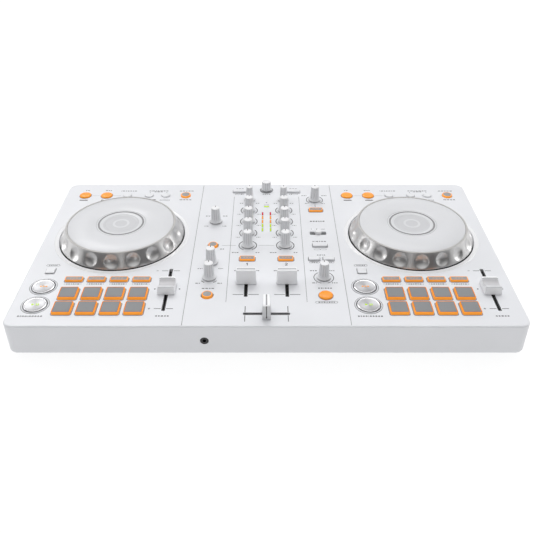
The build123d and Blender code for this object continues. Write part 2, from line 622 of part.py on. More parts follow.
def make_bottom_case():
    """The lower tray: a rim inside the cover's walls, a recessed pan, ribs and board posts."""
    rim_w = CASE_W - 2 * WALL - 2 * RIM_GAP
    rim_d = CASE_D - 2 * WALL - 2 * RIM_GAP
    pan_w = CASE_W - 2 * PAN_INSET
    pan_d = CASE_D - 2 * PAN_INSET
    pan_floor = TRAY_Z + TRAY_FLOOR
    rim_top = SKIRT_Z + TRAY_FLOOR
    pan = slab(0, 0, TRAY_Z, SKIRT_Z + 0.5, pan_w, pan_d, CORNER_R)
    pan = chamfer(pan.edges().group_by(Axis.Z)[0], 1.5)
    tray = pan + slab(0, 0, SKIRT_Z, rim_top, rim_w, rim_d, CORNER_R - WALL - RIM_GAP)
    tray = tray - slab(0, 0, pan_floor, rim_top + 1, pan_w - 5, pan_d - 5, CORNER_R - 2.5)
    rib_top = pan_floor + 3
    ribs = [block(-pan_w / 2 + 3, pan_w / 2 - 3, y - 0.8, y + 0.8, pan_floor - 0.5, rib_top)
            for y in (-60, 0, 60)]
    ribs += [block(x - 0.8, x + 0.8, -pan_d / 2 + 3, pan_d / 2 - 3, pan_floor - 0.5, rib_top)
             for x in (-180, -108, -36, 36, 108, 180)]
    posts = [drum(x, y, pan_floor - 0.5, z, POST_R) for x, y, z in BOARD_POSTS]
    tray = tray + ribs + posts
    tray = tray - [drum(x, y, TRAY_Z - 1, TRAY_Z + FOOT_POCKET, FOOT_R) for x, y in FOOT_PLACES]
    tray = tray - [drum(x, y, SKIRT_Z - 1, rim_top + 1, SCREW_R) for x, y in CASE_SCREWS]
    tray = tray - [drum(x, y, z - 5, z + 1, BOARD_SCREW_R) for x, y, z in BOARD_POSTS]
    save("bottom_case", tray)


def make_feet():
    foot = drum(0, 0, 0, TRAY_Z + FOOT_POCKET, FOOT_R)
    foot = fillet(foot.edges().group_by(Axis.Z)[0], 1.0)
    save("rubber_feet", [Pos(x, y, 0) * foot for x, y in FOOT_PLACES])


def pan_screw(head, shank_r, length):
    """A pan-head screw that points up, with its cross recess, standing on its head at z = 0."""
    head_r, head_h = head
    body = drum(0, 0, 0, head_h, head_r) + drum(0, 0, 0, head_h + length, shank_r)
    arm = head_r * 0.6
    cross = block(-arm, arm, -0.35, 0.35, -1, 0.8) + block(-0.35, 0.35, -arm, arm, -1, 0.8)
    return body - cross


def make_screws():
    case = pan_screw((SCREW_HEAD_R, SCREW_HEAD_H), SCREW_R, SCREW_END_Z - SKIRT_Z)
    small = pan_screw(BOARD_SCREW_HEAD, BOARD_SCREW_R, BOARD_T + 4.5)
    screws = [Pos(x, y, SKIRT_Z - SCREW_HEAD_H) * case for x, y in CASE_SCREWS]
    for x, y, z in BOARD_POSTS:
        screws.append(Pos(x, y, z + BOARD_T + BOARD_SCREW_HEAD[1]) * Rot(180, 0, 0) * small)
    save("screws", screws)


def board(x, y, z, size):
    """A circuit board with a hole at each of the posts under it."""
    w, d = size
    plate = slab(x, y, z, z + BOARD_T, w, d, 2.0)
    holes = [drum(px, py, z - 1, z + BOARD_T + 1, BOARD_SCREW_R)
             for px, py, pz in BOARD_POSTS
             if pz == z and abs(px - x) < w / 2 and abs(py - y) < d / 2]
    return plate - holes


def make_boards():
    boards = [board(side * 154.0, -1.0, BOARD_Z, DECK_BOARD) for side in (-1, 1)]
    boards.append(board(0, 2.0, BOARD_Z, MIXER_BOARD))
    boards.append(board(PHONES_X, -118.5, PHONES_BOARD_Z, PHONES_BOARD))
    boards.append(board(0, 109.5, REAR_BOARD_Z, REAR_BOARD))
    save("circuit_boards", boards)


# ================================================================ connectors
def make_usb_port():
    front = BAY_FLOOR_Y - 10
    end = BAY_FLOOR_Y + 0.5
    place = Pos(USB_X, end, PORT_Z) * Rot(90, 0, 0)
    shell = place * extrude(SlotOverall(*USB_OUTER), end - front)
    shell = shell - place * extrude(SlotOverall(*USB_INNER), 8.0)
    tongue = block(USB_X - 3.2, USB_X + 3.2, end - 8.5, end - 1.0, PORT_Z - 0.35, PORT_Z + 0.35)
    riser = block(USB_X - 5, USB_X + 5, front, front + 6, REAR_BOARD_Z + BOARD_T, PORT_Z - 1.2)
    save("usb_port", shell + tongue + riser)


def make_rca_jacks():
    base = REAR_BOARD_Z + BOARD_T
    jacks = []
    for x in RCA_XS:
        body = block(x - 7, x + 7, 108, BAY_FLOOR_Y - BAY_WALL, base, JACK_TOP_Z)
        body = body + rod(x, PORT_Z, 120, RCA_END_Y, RCA_R)
        jacks.append(body - rod(x, PORT_Z, 122, RCA_END_Y + 1, RCA_PIN_R))
    save("rca_jacks", jacks)


def make_mic_jack():
    base = REAR_BOARD_Z + BOARD_T
    body = block(MIC_X - 8, MIC_X + 8, 100, BAY_FLOOR_Y - BAY_WALL, base, JACK_TOP_Z)
    body = body + rod(MIC_X, PORT_Z, 120, MIC_END_Y, 5.4)
    nut = rod(MIC_X, PORT_Z, BAY_FLOOR_Y, MIC_END_Y, MIC_NUT_R)
    save("mic_jack", body + nut - rod(MIC_X, PORT_Z, MIC_BORE_END_Y, MIC_END_Y + 1, MIC_BORE_R))


def make_headphone_jack():
    inner = -CASE_D / 2 + WALL
    body = block(PHONES_X - 6, PHONES_X + 6, inner, inner + 14, PHONES_BOARD_Z + BOARD_T, PHONES_Z + 5)
    body = body + rod(PHONES_X, PHONES_Z, -CASE_D / 2 + 0.2, inner + 1, PHONES_BUSH_R)
    save("headphone_jack", body - rod(PHONES_X, PHONES_Z, -CASE_D / 2 - 1, PHONES_BORE_END_Y, PHONES_BORE_R))


# ================================================================ build every node
make_top_cover()
make_bottom_case()
make_feet()
make_screws()
make_boards()
make_knobs()
make_browse()
make_faders()
make_jog_wheels()
make_keys()
make_effect_switch()
make_switches()
make_lenses()
make_usb_port()
make_rca_jacks()
make_mic_jack()
make_headphone_jack()
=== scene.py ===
import json
from math import cos, hypot, pi, radians, sin, sqrt
import bmesh
import bpy
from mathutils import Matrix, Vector


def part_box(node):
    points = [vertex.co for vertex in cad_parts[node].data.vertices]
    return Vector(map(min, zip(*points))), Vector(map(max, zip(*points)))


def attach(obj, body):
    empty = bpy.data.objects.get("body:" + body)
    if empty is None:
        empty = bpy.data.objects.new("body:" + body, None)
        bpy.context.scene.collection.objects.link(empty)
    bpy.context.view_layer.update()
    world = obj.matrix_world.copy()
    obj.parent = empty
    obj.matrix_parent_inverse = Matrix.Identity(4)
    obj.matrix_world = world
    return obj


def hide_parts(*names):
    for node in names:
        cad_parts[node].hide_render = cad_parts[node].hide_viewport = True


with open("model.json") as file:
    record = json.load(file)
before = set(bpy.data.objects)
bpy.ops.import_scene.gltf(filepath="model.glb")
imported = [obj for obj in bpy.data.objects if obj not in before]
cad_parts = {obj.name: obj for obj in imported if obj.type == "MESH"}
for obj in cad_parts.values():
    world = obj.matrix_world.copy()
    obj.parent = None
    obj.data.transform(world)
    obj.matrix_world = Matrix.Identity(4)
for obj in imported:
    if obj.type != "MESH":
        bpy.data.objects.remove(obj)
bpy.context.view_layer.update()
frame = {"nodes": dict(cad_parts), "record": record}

MM = 0.001
TAU = 2 * pi

record = frame["record"]
BODY_OF = {n: body for body, nodes in record["behaviour"]["bodies"].items() for n in nodes}


def box_mm(node):
    """Lowest and highest corner of a CAD node, in millimetres."""
    lo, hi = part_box(node)
    return lo / MM, hi / MM


def middle(lo, hi):
    """The x and y of the middle of a box."""
    return (lo.x + hi.x) / 2, (lo.y + hi.y) / 2


def place_of(node):
    """The x and y of the middle of a CAD node, in millimetres."""
    return middle(*box_mm(node))


def solids_of(node):
    """(lowest, highest) corners in millimetres of the separate solids in a CAD node."""
    mesh = frame["nodes"][node].data
    places = {}
    weld = [places.setdefault(tuple(round(c, 6) for c in v.co), i) for i, v in enumerate(mesh.vertices)]
    root = list(range(len(mesh.vertices)))

    def find(i):
        while root[i] != i:
            root[i] = root[root[i]]
            i = root[i]
        return i

    for poly in mesh.polygons:
        first = find(weld[poly.vertices[0]])
        for i in poly.vertices[1:]:
            root[find(weld[i])] = first
    groups = {}
    for i, v in enumerate(mesh.vertices):
        groups.setdefault(find(weld[i]), []).append(v.co)
    boxes = []
    for points in groups.values():
        lo = Vector([min(p[k] for p in points) for k in range(3)]) / MM
        hi = Vector([max(p[k] for p in points) for k in range(3)]) / MM
        boxes.append((lo, hi))
    return sorted(boxes, key=lambda b: (round(b[0].y), round(b[0].x)))


def all_solids(*nodes):
    return [box for node in nodes for box in solids_of(node)]


# The panel plane: the cover is the tallest fixed piece of the case.
PANEL = box_mm("top_cover")[1].z
FRONT = box_mm("top_cover")[0].y
REAR = box_mm("top_cover")[1].y
JOGS = {n: place_of(f"jog_ring_{n}") for n in (1, 2)}


# ================================================================ meshes
HARD_EDGE = radians(32)
RIM_BANDS = 3             # the last bands of a key, which make the rim round its inlay


def face_out(mesh, weld=0.0):
    """Turn the faces of the closed shells outwards, smooth them and keep their hard edges."""
    work = bmesh.new()
    work.from_mesh(mesh)
    if weld:
        bmesh.ops.remove_doubles(work, verts=work.verts, dist=weld)
    bmesh.ops.recalc_face_normals(work, faces=work.faces)
    work.to_mesh(mesh)
    work.free()
    mesh.shade_smooth()
    mesh.set_sharp_from_angle(angle=HARD_EDGE)


def full_turn(segments):
    """Evenly spaced angles all the way round."""
    return [TAU * i / segments for i in range(segments)]


class Shell:
    """Rings of points joined into closed meshes, with a material number for each face."""

    def __init__(self):
        self.points = []
        self.faces = []
        self.kinds = []

    def ring(self, points):
        start = len(self.points)
        self.points.extend(points)
        return list(range(start, len(self.points)))

    def face(self, ids, kind=0):
        self.faces.append(tuple(ids))
        self.kinds.append(kind)

    def bridge(self, low, high, kind=0, stripe=None):
        """Faces between two rings; a ring of one point makes a fan, and stripe gives each face's kind."""
        n = max(len(low), len(high))
        for i in range(n):
            j = (i + 1) % n
            if len(low) == 1:
                self.face((low[0], high[j], high[i]), kind)
            elif len(high) == 1:
                self.face((low[i], low[j], high[0]), kind)
            else:
                self.face((low[i], low[j], high[j], high[i]), stripe(i) if stripe else kind)

    def skin(self, rings, kinds, stripe=None):
        """Join rings in turn and close both ends; only a band of kind 0 takes the stripes."""
        for low, high, kind in zip(rings, rings[1:], kinds):
            self.bridge(low, high, kind, None if kind else stripe)
        if len(rings[0]) > 1:
            self.face(reversed(rings[0]), kinds[0])
        if len(rings[-1]) > 1:
            self.face(rings[-1], kinds[-1])

    def loop(self, rings, kinds):
        """Join rings in turn and the last one to the first."""
        for i, kind in enumerate(kinds):
            self.bridge(rings[i], rings[(i + 1) % len(rings)], kind)

    def turned(self, profile, x, y, segments, radius=None):
        """A ring about an upright axis for each (radius, z) pair, or a point where it meets the axis."""
        rings = []
        for r, z in profile:
            if r == 0.0:
                rings.append(self.ring([(x, y, z)]))
                continue
            places = [(radius(r, z, a) if radius else r, a) for a in full_turn(segments)]
            rings.append(self.ring([(x + q * cos(a), y + q * sin(a), z) for q, a in places]))
        return rings

    def stack(self, outline, levels, kind=0, x=0.0, y=0.0, rim_kind=None):
        """A closed solid: the outline at each (inset, z); rim_kind is for its last bands and its top."""
        rings = [self.ring([(x + px, y + py, z) for px, py in outline(inset)]) for inset, z in levels]
        kinds = [kind] * (len(rings) - 1)
        if rim_kind is not None:
            kinds[-RIM_BANDS:] = [rim_kind] * RIM_BANDS
        self.skin(rings, kinds)

    def lathe(self, profile, x, y, segments, kinds=None, radius=None, stripe=None):
        """A closed solid of revolution from (radius, z) pairs; the ends lie on the axis or are capped."""
        rings = self.turned(profile, x, y, segments, radius)
        self.skin(rings, kinds or [0] * len(rings), stripe)

    def hoop(self, profile, x, y, segments, kinds=None):
        """A closed ring: an outline of (radius, z) pairs that doesn't reach the axis."""
        rings = self.turned(profile, x, y, segments)
        self.loop(rings, kinds or [0] * len(rings))

    def rod(self, rails, kind=0):
        """A rod between lines of points, closed at both ends."""
        for first, second in zip(rails, rails[1:] + rails[:1]):
            for i in range(len(first) - 1):
                self.face((first[i], first[i + 1], second[i + 1], second[i]), kind)
        for i in (0, -1):
            self.face([rail[i] for rail in rails], kind)

    def sleeve(self, profile, x, z, kind=0):
        """A closed ring about a line from front to back, from (radius, y) pairs."""
        turn = full_turn(48)
        rings = [self.ring([(x + r * cos(a), y, z + r * sin(a)) for a in turn]) for r, y in profile]
        self.loop(rings, [kind] * len(rings))

    def prism(self, outline, z0, z1, kind=0, x=0.0, y=0.0):
        """A flat closed plate on a convex outline of (x, y) pairs."""
        self.skin([self.ring([(x + px, y + py, z) for px, py in outline]) for z in (z0, z1)], [kind])

    def build(self, name, materials):
        mesh = bpy.data.meshes.new(name)
        mesh.from_pydata([tuple(c * MM for c in p) for p in self.points], [], self.faces)
        for material in materials:
            mesh.materials.append(material)
        mesh.polygons.foreach_set("material_index", self.kinds)
        mesh.validate()
        face_out(mesh)
        obj = bpy.data.objects.new(name, mesh)
        bpy.context.scene.collection.objects.link(obj)
        return obj


def rounded_rect(w, d, r, steps=6):
    """A function from an inset to the outline of a rounded rectangle, always with as many points."""
    def outline(inset=0.0):
        radius = max(r - inset, 0.05)
        hx = w / 2 - inset - radius
        hy = d / 2 - inset - radius
        points = []
        for sx, sy, start in ((1, 1, 0), (-1, 1, 90), (-1, -1, 180), (1, -1, 270)):
            for i in range(steps + 1):
                a = radians(start + 90 * i / steps)
                points.append((sx * hx + radius * cos(a), sy * hy + radius * sin(a)))
        return points
    return outline


def circle(r, segments=64):
    def outline(inset=0.0):
        return [((r - inset) * cos(a), (r - inset) * sin(a)) for a in full_turn(segments)]
    return outline


def quarter(steps):
    """Angles from 0 to 90 degrees."""
    return [pi / 2 * i / steps for i in range(steps + 1)]


def round_over(top, radius, start=0.0):
    """Levels (inset, z) that round an upper edge."""
    return [(start + radius * (1 - cos(a)), top - radius + radius * sin(a)) for a in quarter(5)]


def bar(x, y, w, h):
    return [(x - w / 2, y - h / 2), (x + w / 2, y - h / 2), (x + w / 2, y + h / 2), (x - w / 2, y + h / 2)]


def piece(name, shell, materials, body="root"):
    """Make a shell into a piece that rides on a body and takes the given materials."""
    obj = shell.build(name, materials)
    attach(obj, body)
    return obj


def stand_in(node, shell, materials):
    """Make a shell into the piece that is seen in place of a CAD node; orange ones tint no neighbour."""
    obj = piece(node + "_shape", shell, materials, BODY_OF[node])
    obj.visible_diffuse = not any("orange" in m.name for m in materials)
    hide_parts(node)
    return obj


# ================================================================ materials
def fill(tree, node, sockets):
    """Set a node's inputs: sockets maps a name or number to a value or to an output to link."""
    for key, value in sockets.items():
        if isinstance(value, bpy.types.NodeSocket):
            tree.links.new(value, node.inputs[key])
        else:
            node.inputs[key].default_value = value
    return node


def add_node(tree, kind, sockets, operation=None):
    node = tree.nodes.new(kind)
    if operation:
        node.operation = operation
    return fill(tree, node, sockets)


def mixed(tree, factor, a, b):
    """A colour mix; a and b are sockets or four numbers."""
    mix = tree.nodes.new("ShaderNodeMix")
    mix.data_type = "RGBA"
    return fill(tree, mix, {0: factor, 6: a, 7: b}).outputs[2]


def spread(tree, value, low, high, to_low=0.0, to_high=1.0):
    sockets = {0: value, 1: low, 2: high, 3: to_low, 4: to_high}
    return add_node(tree, "ShaderNodeMapRange", sockets).outputs[0]


def coordinates(tree, kind):
    return add_node(tree, "ShaderNodeTexCoord", {}).outputs[kind]


def noise(tree, coords, scale, detail=3.0):
    sockets = {"Vector": coords, "Scale": scale, "Detail": detail, "Roughness": 0.55}
    return add_node(tree, "ShaderNodeTexNoise", sockets).outputs["Fac"]


def opaque(colour, k=1.0):
    """A colour made k times as bright, with its alpha."""
    return (*(min(c * k, 1.0) for c in colour), 1.0)


DRIFT_SCALE = 35.0        # how many patches of broad colour drift a metre holds


def surface(name, colour, roughness, metallic=0.0, tint=0.03, rough_spread=0.05, grain=0.02,
            grain_scale=1400.0, edge_wear_and_highlight=0.0, coat=0.0, specular=0.5, glow=0.0, glow_colour=None):
    """A moulded or metal surface: broad colour drift, fine grain, uneven gloss, and worn edges that are
    lightened, which also paints a highlight along every rounded edge.

    grain is the height of the texture in millimetres and grain_scale how many bumps a metre holds.
    """
    mat = bpy.data.materials.new(name)
    mat.use_nodes = True
    tree = mat.node_tree
    tree.nodes.clear()
    coords = coordinates(tree, "Object")
    drift = spread(tree, noise(tree, coords, DRIFT_SCALE), 0.3, 0.7)
    base = mixed(tree, drift, opaque(colour, 1 - tint), opaque(colour, 1 + tint))
    if edge_wear_and_highlight:
        bevel = add_node(tree, "ShaderNodeBevel", {"Radius": 0.0006})
        bevel.samples = 4
        flat = add_node(tree, "ShaderNodeNewGeometry", {}).outputs["Normal"]
        dot = add_node(tree, "ShaderNodeVectorMath", {0: bevel.outputs[0], 1: flat}, "DOT_PRODUCT")
        worn_highlit_edge_mask = spread(tree, dot.outputs["Value"], 0.99, 0.88, 0.0, edge_wear_and_highlight)
        # Rounded edges blend towards a lighter copy of the colour: edge wear and a painted highlight along
        # the edges.
        base = mixed(tree, worn_highlit_edge_mask, base, opaque(colour, 1.25))
    fine = noise(tree, coords, grain_scale, detail=4.0)
    bump = add_node(tree, "ShaderNodeBump", {"Strength": 0.6, "Distance": grain * MM, "Height": fine})
    gloss = spread(tree, noise(tree, coords, DRIFT_SCALE * 4), 0.3, 0.7,
                   roughness - rough_spread, roughness + rough_spread)
    shader = add_node(tree, "ShaderNodeBsdfPrincipled", {
        "Base Color": base, "Roughness": gloss, "Normal": bump.outputs[0], "Metallic": metallic,
        "Specular IOR Level": specular, "Coat Weight": coat, "Coat Roughness": 0.12})
    if glow:
        shader.inputs["Emission Color"].default_value = opaque(glow_colour or colour)
        shader.inputs["Emission Strength"].default_value = glow
    add_node(tree, "ShaderNodeOutputMaterial", {0: shader.outputs[0]})
    return mat


def spun_metal_painted_sheen(name, dark, light, roughness):
    """A satin disc with a painted sheen: light and dark wedges of colour that fan out from its middle."""
    mat = surface(name, dark, roughness, metallic=0.85, tint=0.01, grain=0.004, rough_spread=0.03)
    tree = mat.node_tree
    split = add_node(tree, "ShaderNodeSeparateXYZ", {0: coordinates(tree, "Generated")})
    x, y = (spread(tree, split.outputs[k], 0.0, 1.0, -1.0, 1.0) for k in (0, 1))
    angle = add_node(tree, "ShaderNodeMath", {0: y, 1: x}, "ARCTAN2")
    twice = add_node(tree, "ShaderNodeMath", {0: angle.outputs[0], 1: 2.0, 2: -0.9}, "MULTIPLY_ADD")
    wave = add_node(tree, "ShaderNodeMath", {0: twice.outputs[0]}, "COSINE")
    fan = spread(tree, wave.outputs[0], -1.0, 1.0)
    shader = next(n for n in tree.nodes if n.type == "BSDF_PRINCIPLED")
    # The base colour swings between the dark and light colours round the middle: a painted sheen.
    tree.links.new(mixed(tree, fan, opaque(dark), opaque(light)), shader.inputs["Base Color"])
    return mat


COVER = surface("cover_white_moulded", (0.765, 0.775, 0.80), 0.42, tint=0.012, grain=0.025, edge_wear_and_highlight=0.25)
LIP_PAINTED_HIGHLIGHT = surface("lip_white_painted_highlight", (0.86, 0.86, 0.87), 0.2, tint=0.01, grain=0.005, coat=0.5)
TRAY = surface("tray_grey_moulded", (0.50, 0.51, 0.53), 0.55, tint=0.04, grain=0.05, grain_scale=900,
               edge_wear_and_highlight=0.2)
RUBBER = surface("foot_rubber_matt", (0.035, 0.035, 0.037), 0.8, tint=0.15, grain=0.06, grain_scale=700)
STEEL = surface("steel_plated", (0.56, 0.56, 0.57), 0.28, metallic=1.0, grain=0.01, edge_wear_and_highlight=0.2)
BOARD = surface("board_green_lacquer", (0.02, 0.13, 0.06), 0.35, tint=0.2, coat=0.5)
CONTROL = surface("control_body_dark", (0.045, 0.045, 0.048), 0.4, tint=0.1)
# Dark grey for painted shade: the transport buttons' sides and gaps, and the ring round the browse knob.
COLLAR_PAINTED_SHADE = surface("collar_painted_shade", (0.16, 0.16, 0.165), 0.3, tint=0.05, grain=0.01, coat=0.4)
BLACK = surface("black_moulded", (0.012, 0.012, 0.013), 0.38, tint=0.2, grain=0.03)
SILVER = surface("jog_ring_plated", (0.60, 0.596, 0.59), 0.34, metallic=1.0, tint=0.02, grain=0.003,
                 grain_scale=600, rough_spread=0.03)
KEY_GAP_PAINTED_SHADE = surface("key_gap_painted_shade", (0.25, 0.24, 0.25), 0.5, tint=0.04)
JOG_BASE_PAINTED_SHADOW = surface("jog_base_painted_shadow", (0.02, 0.02, 0.021), 0.6, tint=0.2)
PLATTER = surface("platter_satin", (0.68, 0.686, 0.703), 0.36, tint=0.012, grain=0.012, coat=0.15)
PLATTER_GROOVE = surface("platter_groove", (0.26, 0.26, 0.265), 0.45, tint=0.05)
PLATTER_DISC = surface("platter_inner_disc", (0.58, 0.585, 0.60), 0.36, tint=0.012, grain=0.012)
PLATTER_INK = surface("platter_faint_ring", (0.50, 0.505, 0.52), 0.4, tint=0.02)
RIM_GREY = surface("platter_rim_grey", (0.50, 0.49, 0.475), 0.4, tint=0.03)
KNOB = surface("knob_grip_moulded", (0.78, 0.785, 0.80), 0.34, tint=0.02, grain=0.02, edge_wear_and_highlight=0.3)
# Knob greys and whites: darker copies for the flute bottoms and the skirt's foot are painted shade, and a
# lighter copy for the top is a painted highlight.
KNOB_GROOVE_PAINTED_SHADE = surface("knob_groove_painted_shade", (0.56, 0.565, 0.575), 0.4, tint=0.03, grain=0.02)
KNOB_FOOT_PAINTED_SHADOW = surface("knob_foot_painted_shadow", (0.33, 0.33, 0.335), 0.45, tint=0.04, grain=0.02)
SWITCH_GREY = surface("switch_lever_white", (0.80, 0.80, 0.81), 0.3, tint=0.02, grain=0.01)
KNOB_TOP_PAINTED_HIGHLIGHT = surface("knob_top_painted_highlight", (0.86, 0.86, 0.87), 0.34, tint=0.015, grain=0.01, edge_wear_and_highlight=0.2)
CAP_WHITE = surface("cap_white_moulded", (0.95, 0.953, 0.965), 0.34, tint=0.02, grain=0.015, edge_wear_and_highlight=0.3)
CAP_SIDE_PAINTED_SHADE = surface("cap_side_painted_shade", (0.62, 0.625, 0.64), 0.36, tint=0.02, grain=0.015, edge_wear_and_highlight=0.2)
CAP_PALE_PAINTED_SHADE = surface("cap_pale_painted_shade", (0.72, 0.725, 0.74), 0.36, tint=0.02, grain=0.015)
CAP_DISH_PAINTED_SHADE = surface("cap_dish_painted_shade", (0.56, 0.555, 0.57), 0.4, tint=0.02, grain=0.015)
CAP_BAND = surface("cap_band_grey", (0.50, 0.505, 0.52), 0.4, tint=0.02, grain=0.01)
SEAM_PAINTED_SHADE = surface("seam_painted_shade", (0.36, 0.36, 0.365), 0.5, tint=0.05)
MARK = surface("print_grey", (0.095, 0.095, 0.097), 0.5, tint=0.06)
# Pale grey for print, and for painted shade: the lines round the white keys and the dark line on the tempo
# caps.
MARK_PALE_AND_PAINTED_SHADE = surface("pale_print_and_painted_shade", (0.29, 0.295, 0.30), 0.5, tint=0.04)
MARK_DARK = surface("print_dark", (0.05, 0.05, 0.052), 0.5, tint=0.1)
AMBER = (1.0, 0.33, 0.018)
GLOW_AMBER = (1.0, 0.37, 0.08)
ORANGE = surface("key_orange_lit", AMBER, 0.34, tint=0.05, grain=0.012, specular=0.25, coat=0.2,
                 glow=0.28, glow_colour=GLOW_AMBER)
DOME_ORANGE = surface("dome_orange_lit", AMBER, 0.3, tint=0.05, grain=0.008, specular=0.25, coat=0.25,
                      glow=0.08, glow_colour=(1.0, 0.30, 0.01))
PAD_ORANGE = surface("pad_orange_silicone", AMBER, 0.5, tint=0.05, grain=0.02, specular=0.15,
                     glow=0.36, glow_colour=GLOW_AMBER)
RIM_ORANGE = surface("pad_rim_orange", (0.82, 0.22, 0.004), 0.5, tint=0.05, grain=0.012, specular=0.1,
                     glow=0.08, glow_colour=(1.0, 0.24, 0.01))
PAD_TOP = surface("pad_grey_silicone", (0.236, 0.241, 0.246), 0.6, tint=0.04, grain=0.05, grain_scale=900)
KEY_TOP = surface("key_grey_film", (0.30, 0.30, 0.30), 0.45, tint=0.05, grain=0.02)
KEY_WHITE = surface("key_white_moulded", (0.765, 0.772, 0.79), 0.36, tint=0.02, grain=0.015, edge_wear_and_highlight=0.25)
CHROME = surface("button_chrome", (0.60, 0.60, 0.61), 0.2, metallic=1.0, tint=0.01, grain=0.002)
SPUN_PAINTED_SHEEN = spun_metal_painted_sheen("button_spun_painted_sheen", (0.30, 0.30, 0.305), (0.44, 0.44, 0.45), 0.42)
LED_RED = surface("led_red", (0.62, 0.012, 0.04), 0.4, tint=0.05, specular=0.1, glow=0.08)
LED_ORANGE = surface("led_orange", (1.0, 0.37, 0.03), 0.4, tint=0.05, specular=0.1, glow=0.08)
LED_GREEN = surface("led_green", (0.52, 0.82, 0.006), 0.4, tint=0.05, specular=0.1, glow=0.08)
LED_PALE = surface("led_unlit", (0.62, 0.60, 0.68), 0.3, tint=0.05, coat=0.4)
RED_RING = surface("jack_red_insulator", (0.55, 0.02, 0.02), 0.4, tint=0.06)
WHITE_RING = surface("jack_white_insulator", (0.75, 0.75, 0.74), 0.4, tint=0.04)

KEPT = {
    "top_cover": COVER, "bottom_case": TRAY, "rubber_feet": RUBBER, "screws": STEEL, "circuit_boards": BOARD,
    "rotary_pots": CONTROL, "fader_tracks": BLACK, "key_switches": BLACK, "jog_spindles": STEEL,
    "usb_port": STEEL, "rca_jacks": STEEL, "mic_jack": BLACK, "headphone_jack": BLACK, "browse_shaft": STEEL,
    "meter_lenses": LED_PALE,
}


def dress_kept_nodes():
    for node, material in KEPT.items():
        mesh = frame["nodes"][node].data
        mesh.materials.clear()
        mesh.materials.append(material)


# ================================================================ keys, pads and buttons
LIP = 1.0                 # each key's CAD solid has a lip this much wider than its cap
LIP_TOP = PANEL - 3.5     # the height where the lip ends
LIP_LOW = LIP_TOP - 1.0   # the height where its drawn part starts


def cap_place(lo, hi):
    """Middle, width and depth of a key's cap, without the hidden lip."""
    return *middle(lo, hi), hi.x - lo.x - 2 * LIP, hi.y - lo.y - 2 * LIP


def cap_levels(top, edge):
    """Levels of a key's cap with the lip that holds it behind the panel."""
    sides = [(-LIP, LIP_LOW), (-LIP, LIP_TOP), (0.0, LIP_TOP), (0.0, top - edge - 0.2)]
    return sides + round_over(top, edge)


def framed_key(shell, lo, hi, corner, edge, border, marks=0, rim_kind=0):
    """A lit key: an orange body whose top holds a grey inlay with short lit bars on it."""
    x, y, w, d = cap_place(lo, hi)
    top = hi.z
    outline = rounded_rect(w, d, corner)
    body = cap_levels(top, edge) + [(border, top), (border + 0.12, top - 0.25)]
    shell.stack(outline, body, 0, x, y, rim_kind)
    inlay = [(border + 0.2, top - 0.3), (border + 0.2, top - 0.04), (border + 0.4, top + 0.08),
             (border + 1.0, top + 0.13)]
    shell.stack(outline, inlay, 1, x, y)
    long, apart = 1.9, 3.1
    for i in range(marks):
        light = [(0, top), (0, top + 0.16), (0.08, top + 0.18)]
        shell.stack(rounded_rect(long, 0.4, 0.15, 3), light, 0, x + (i - (marks - 1) / 2) * apart, y)


def plain_key(shell, lo, hi, corner=0.8, edge=0.5):
    """A white key with a faintly dished top."""
    x, y, w, d = cap_place(lo, hi)
    levels = cap_levels(hi.z, edge) + [(edge + 0.5, hi.z - 0.03), (edge + 1.2, hi.z - 0.12)]
    shell.stack(rounded_rect(w, d, corner), levels, 0, x, y)


def dome_button(shell, lo, hi):
    """A smooth round dome."""
    x, y, w, _ = cap_place(lo, hi)
    r = w / 2
    side = PANEL + 0.7
    profile = [(r + LIP, LIP_LOW), (r + LIP, LIP_TOP), (r, LIP_TOP), (r, side)]
    profile += [(r * cos(a) ** 0.75, side + (hi.z - side) * sin(a)) for a in quarter(12)[1:-1]]
    shell.lathe(profile + [(0.0, hi.z)], x, y, 64)


def ringed_button(shell, lo, hi, shrink=0.0):
    """A round lit button: orange sides and rim with a grey inlay on top."""
    x, y, w, _ = cap_place(lo, hi)
    r = w / 2 - shrink
    top = hi.z
    border = 1.0
    body = cap_levels(top, 0.6) + [(border, top), (border + 0.1, top - 0.2)]
    shell.stack(circle(r), body, 0, x, y)
    inlay = [(border + 0.15, top - 0.25), (border + 0.15, top), (border + 0.4, top + 0.1),
             (r - 0.8, top + 0.2)]
    shell.stack(circle(r), inlay, 1, x, y)


def small_button(shell, lo, hi, kind=0):
    """A small white button with a soft edge and a dished top."""
    x, y, w, _ = cap_place(lo, hi)
    r = w / 2
    levels = cap_levels(hi.z, 0.6) + [(r * 0.35, hi.z - 0.06), (r * 0.8, hi.z - 0.15)]
    shell.stack(circle(r), levels, kind, x, y)


def transport_button(node, glyph_material, glyph):
    """A large spun button with a bright chamfer, a painted sheen on its top and a small lit sign in the
    middle.
    """
    x, y, w, _ = cap_place(*box_mm(node))
    r = w / 2
    top = PANEL + 1.0
    rim = r - 0.3
    profile = [(r + LIP, LIP_LOW), (r + LIP, LIP_TOP), (rim, LIP_TOP), (rim, top - 0.7),
               (rim - 0.1, top - 0.4), (rim - 0.65, top - 0.02), (rim - 0.85, top), (rim - 1.0, top - 0.05),
               (rim - 1.4, top - 0.15), (r * 0.6, top - 0.28), (r * 0.3, top - 0.34), (0.0, top - 0.35)]
    shell = Shell()
    # The hidden lip and the side of the button in its hole take the dark grey: painted shade.
    shell.lathe(profile, x, y, 128, [3] * 4 + [0] * 4 + [1] * 3)
    for outline in glyph:
        shell.prism(outline, top - 0.45, top - 0.26, 2, x, y)
    stand_in(node, shell, [CHROME, SPUN_PAINTED_SHEEN, glyph_material, COLLAR_PAINTED_SHADE])


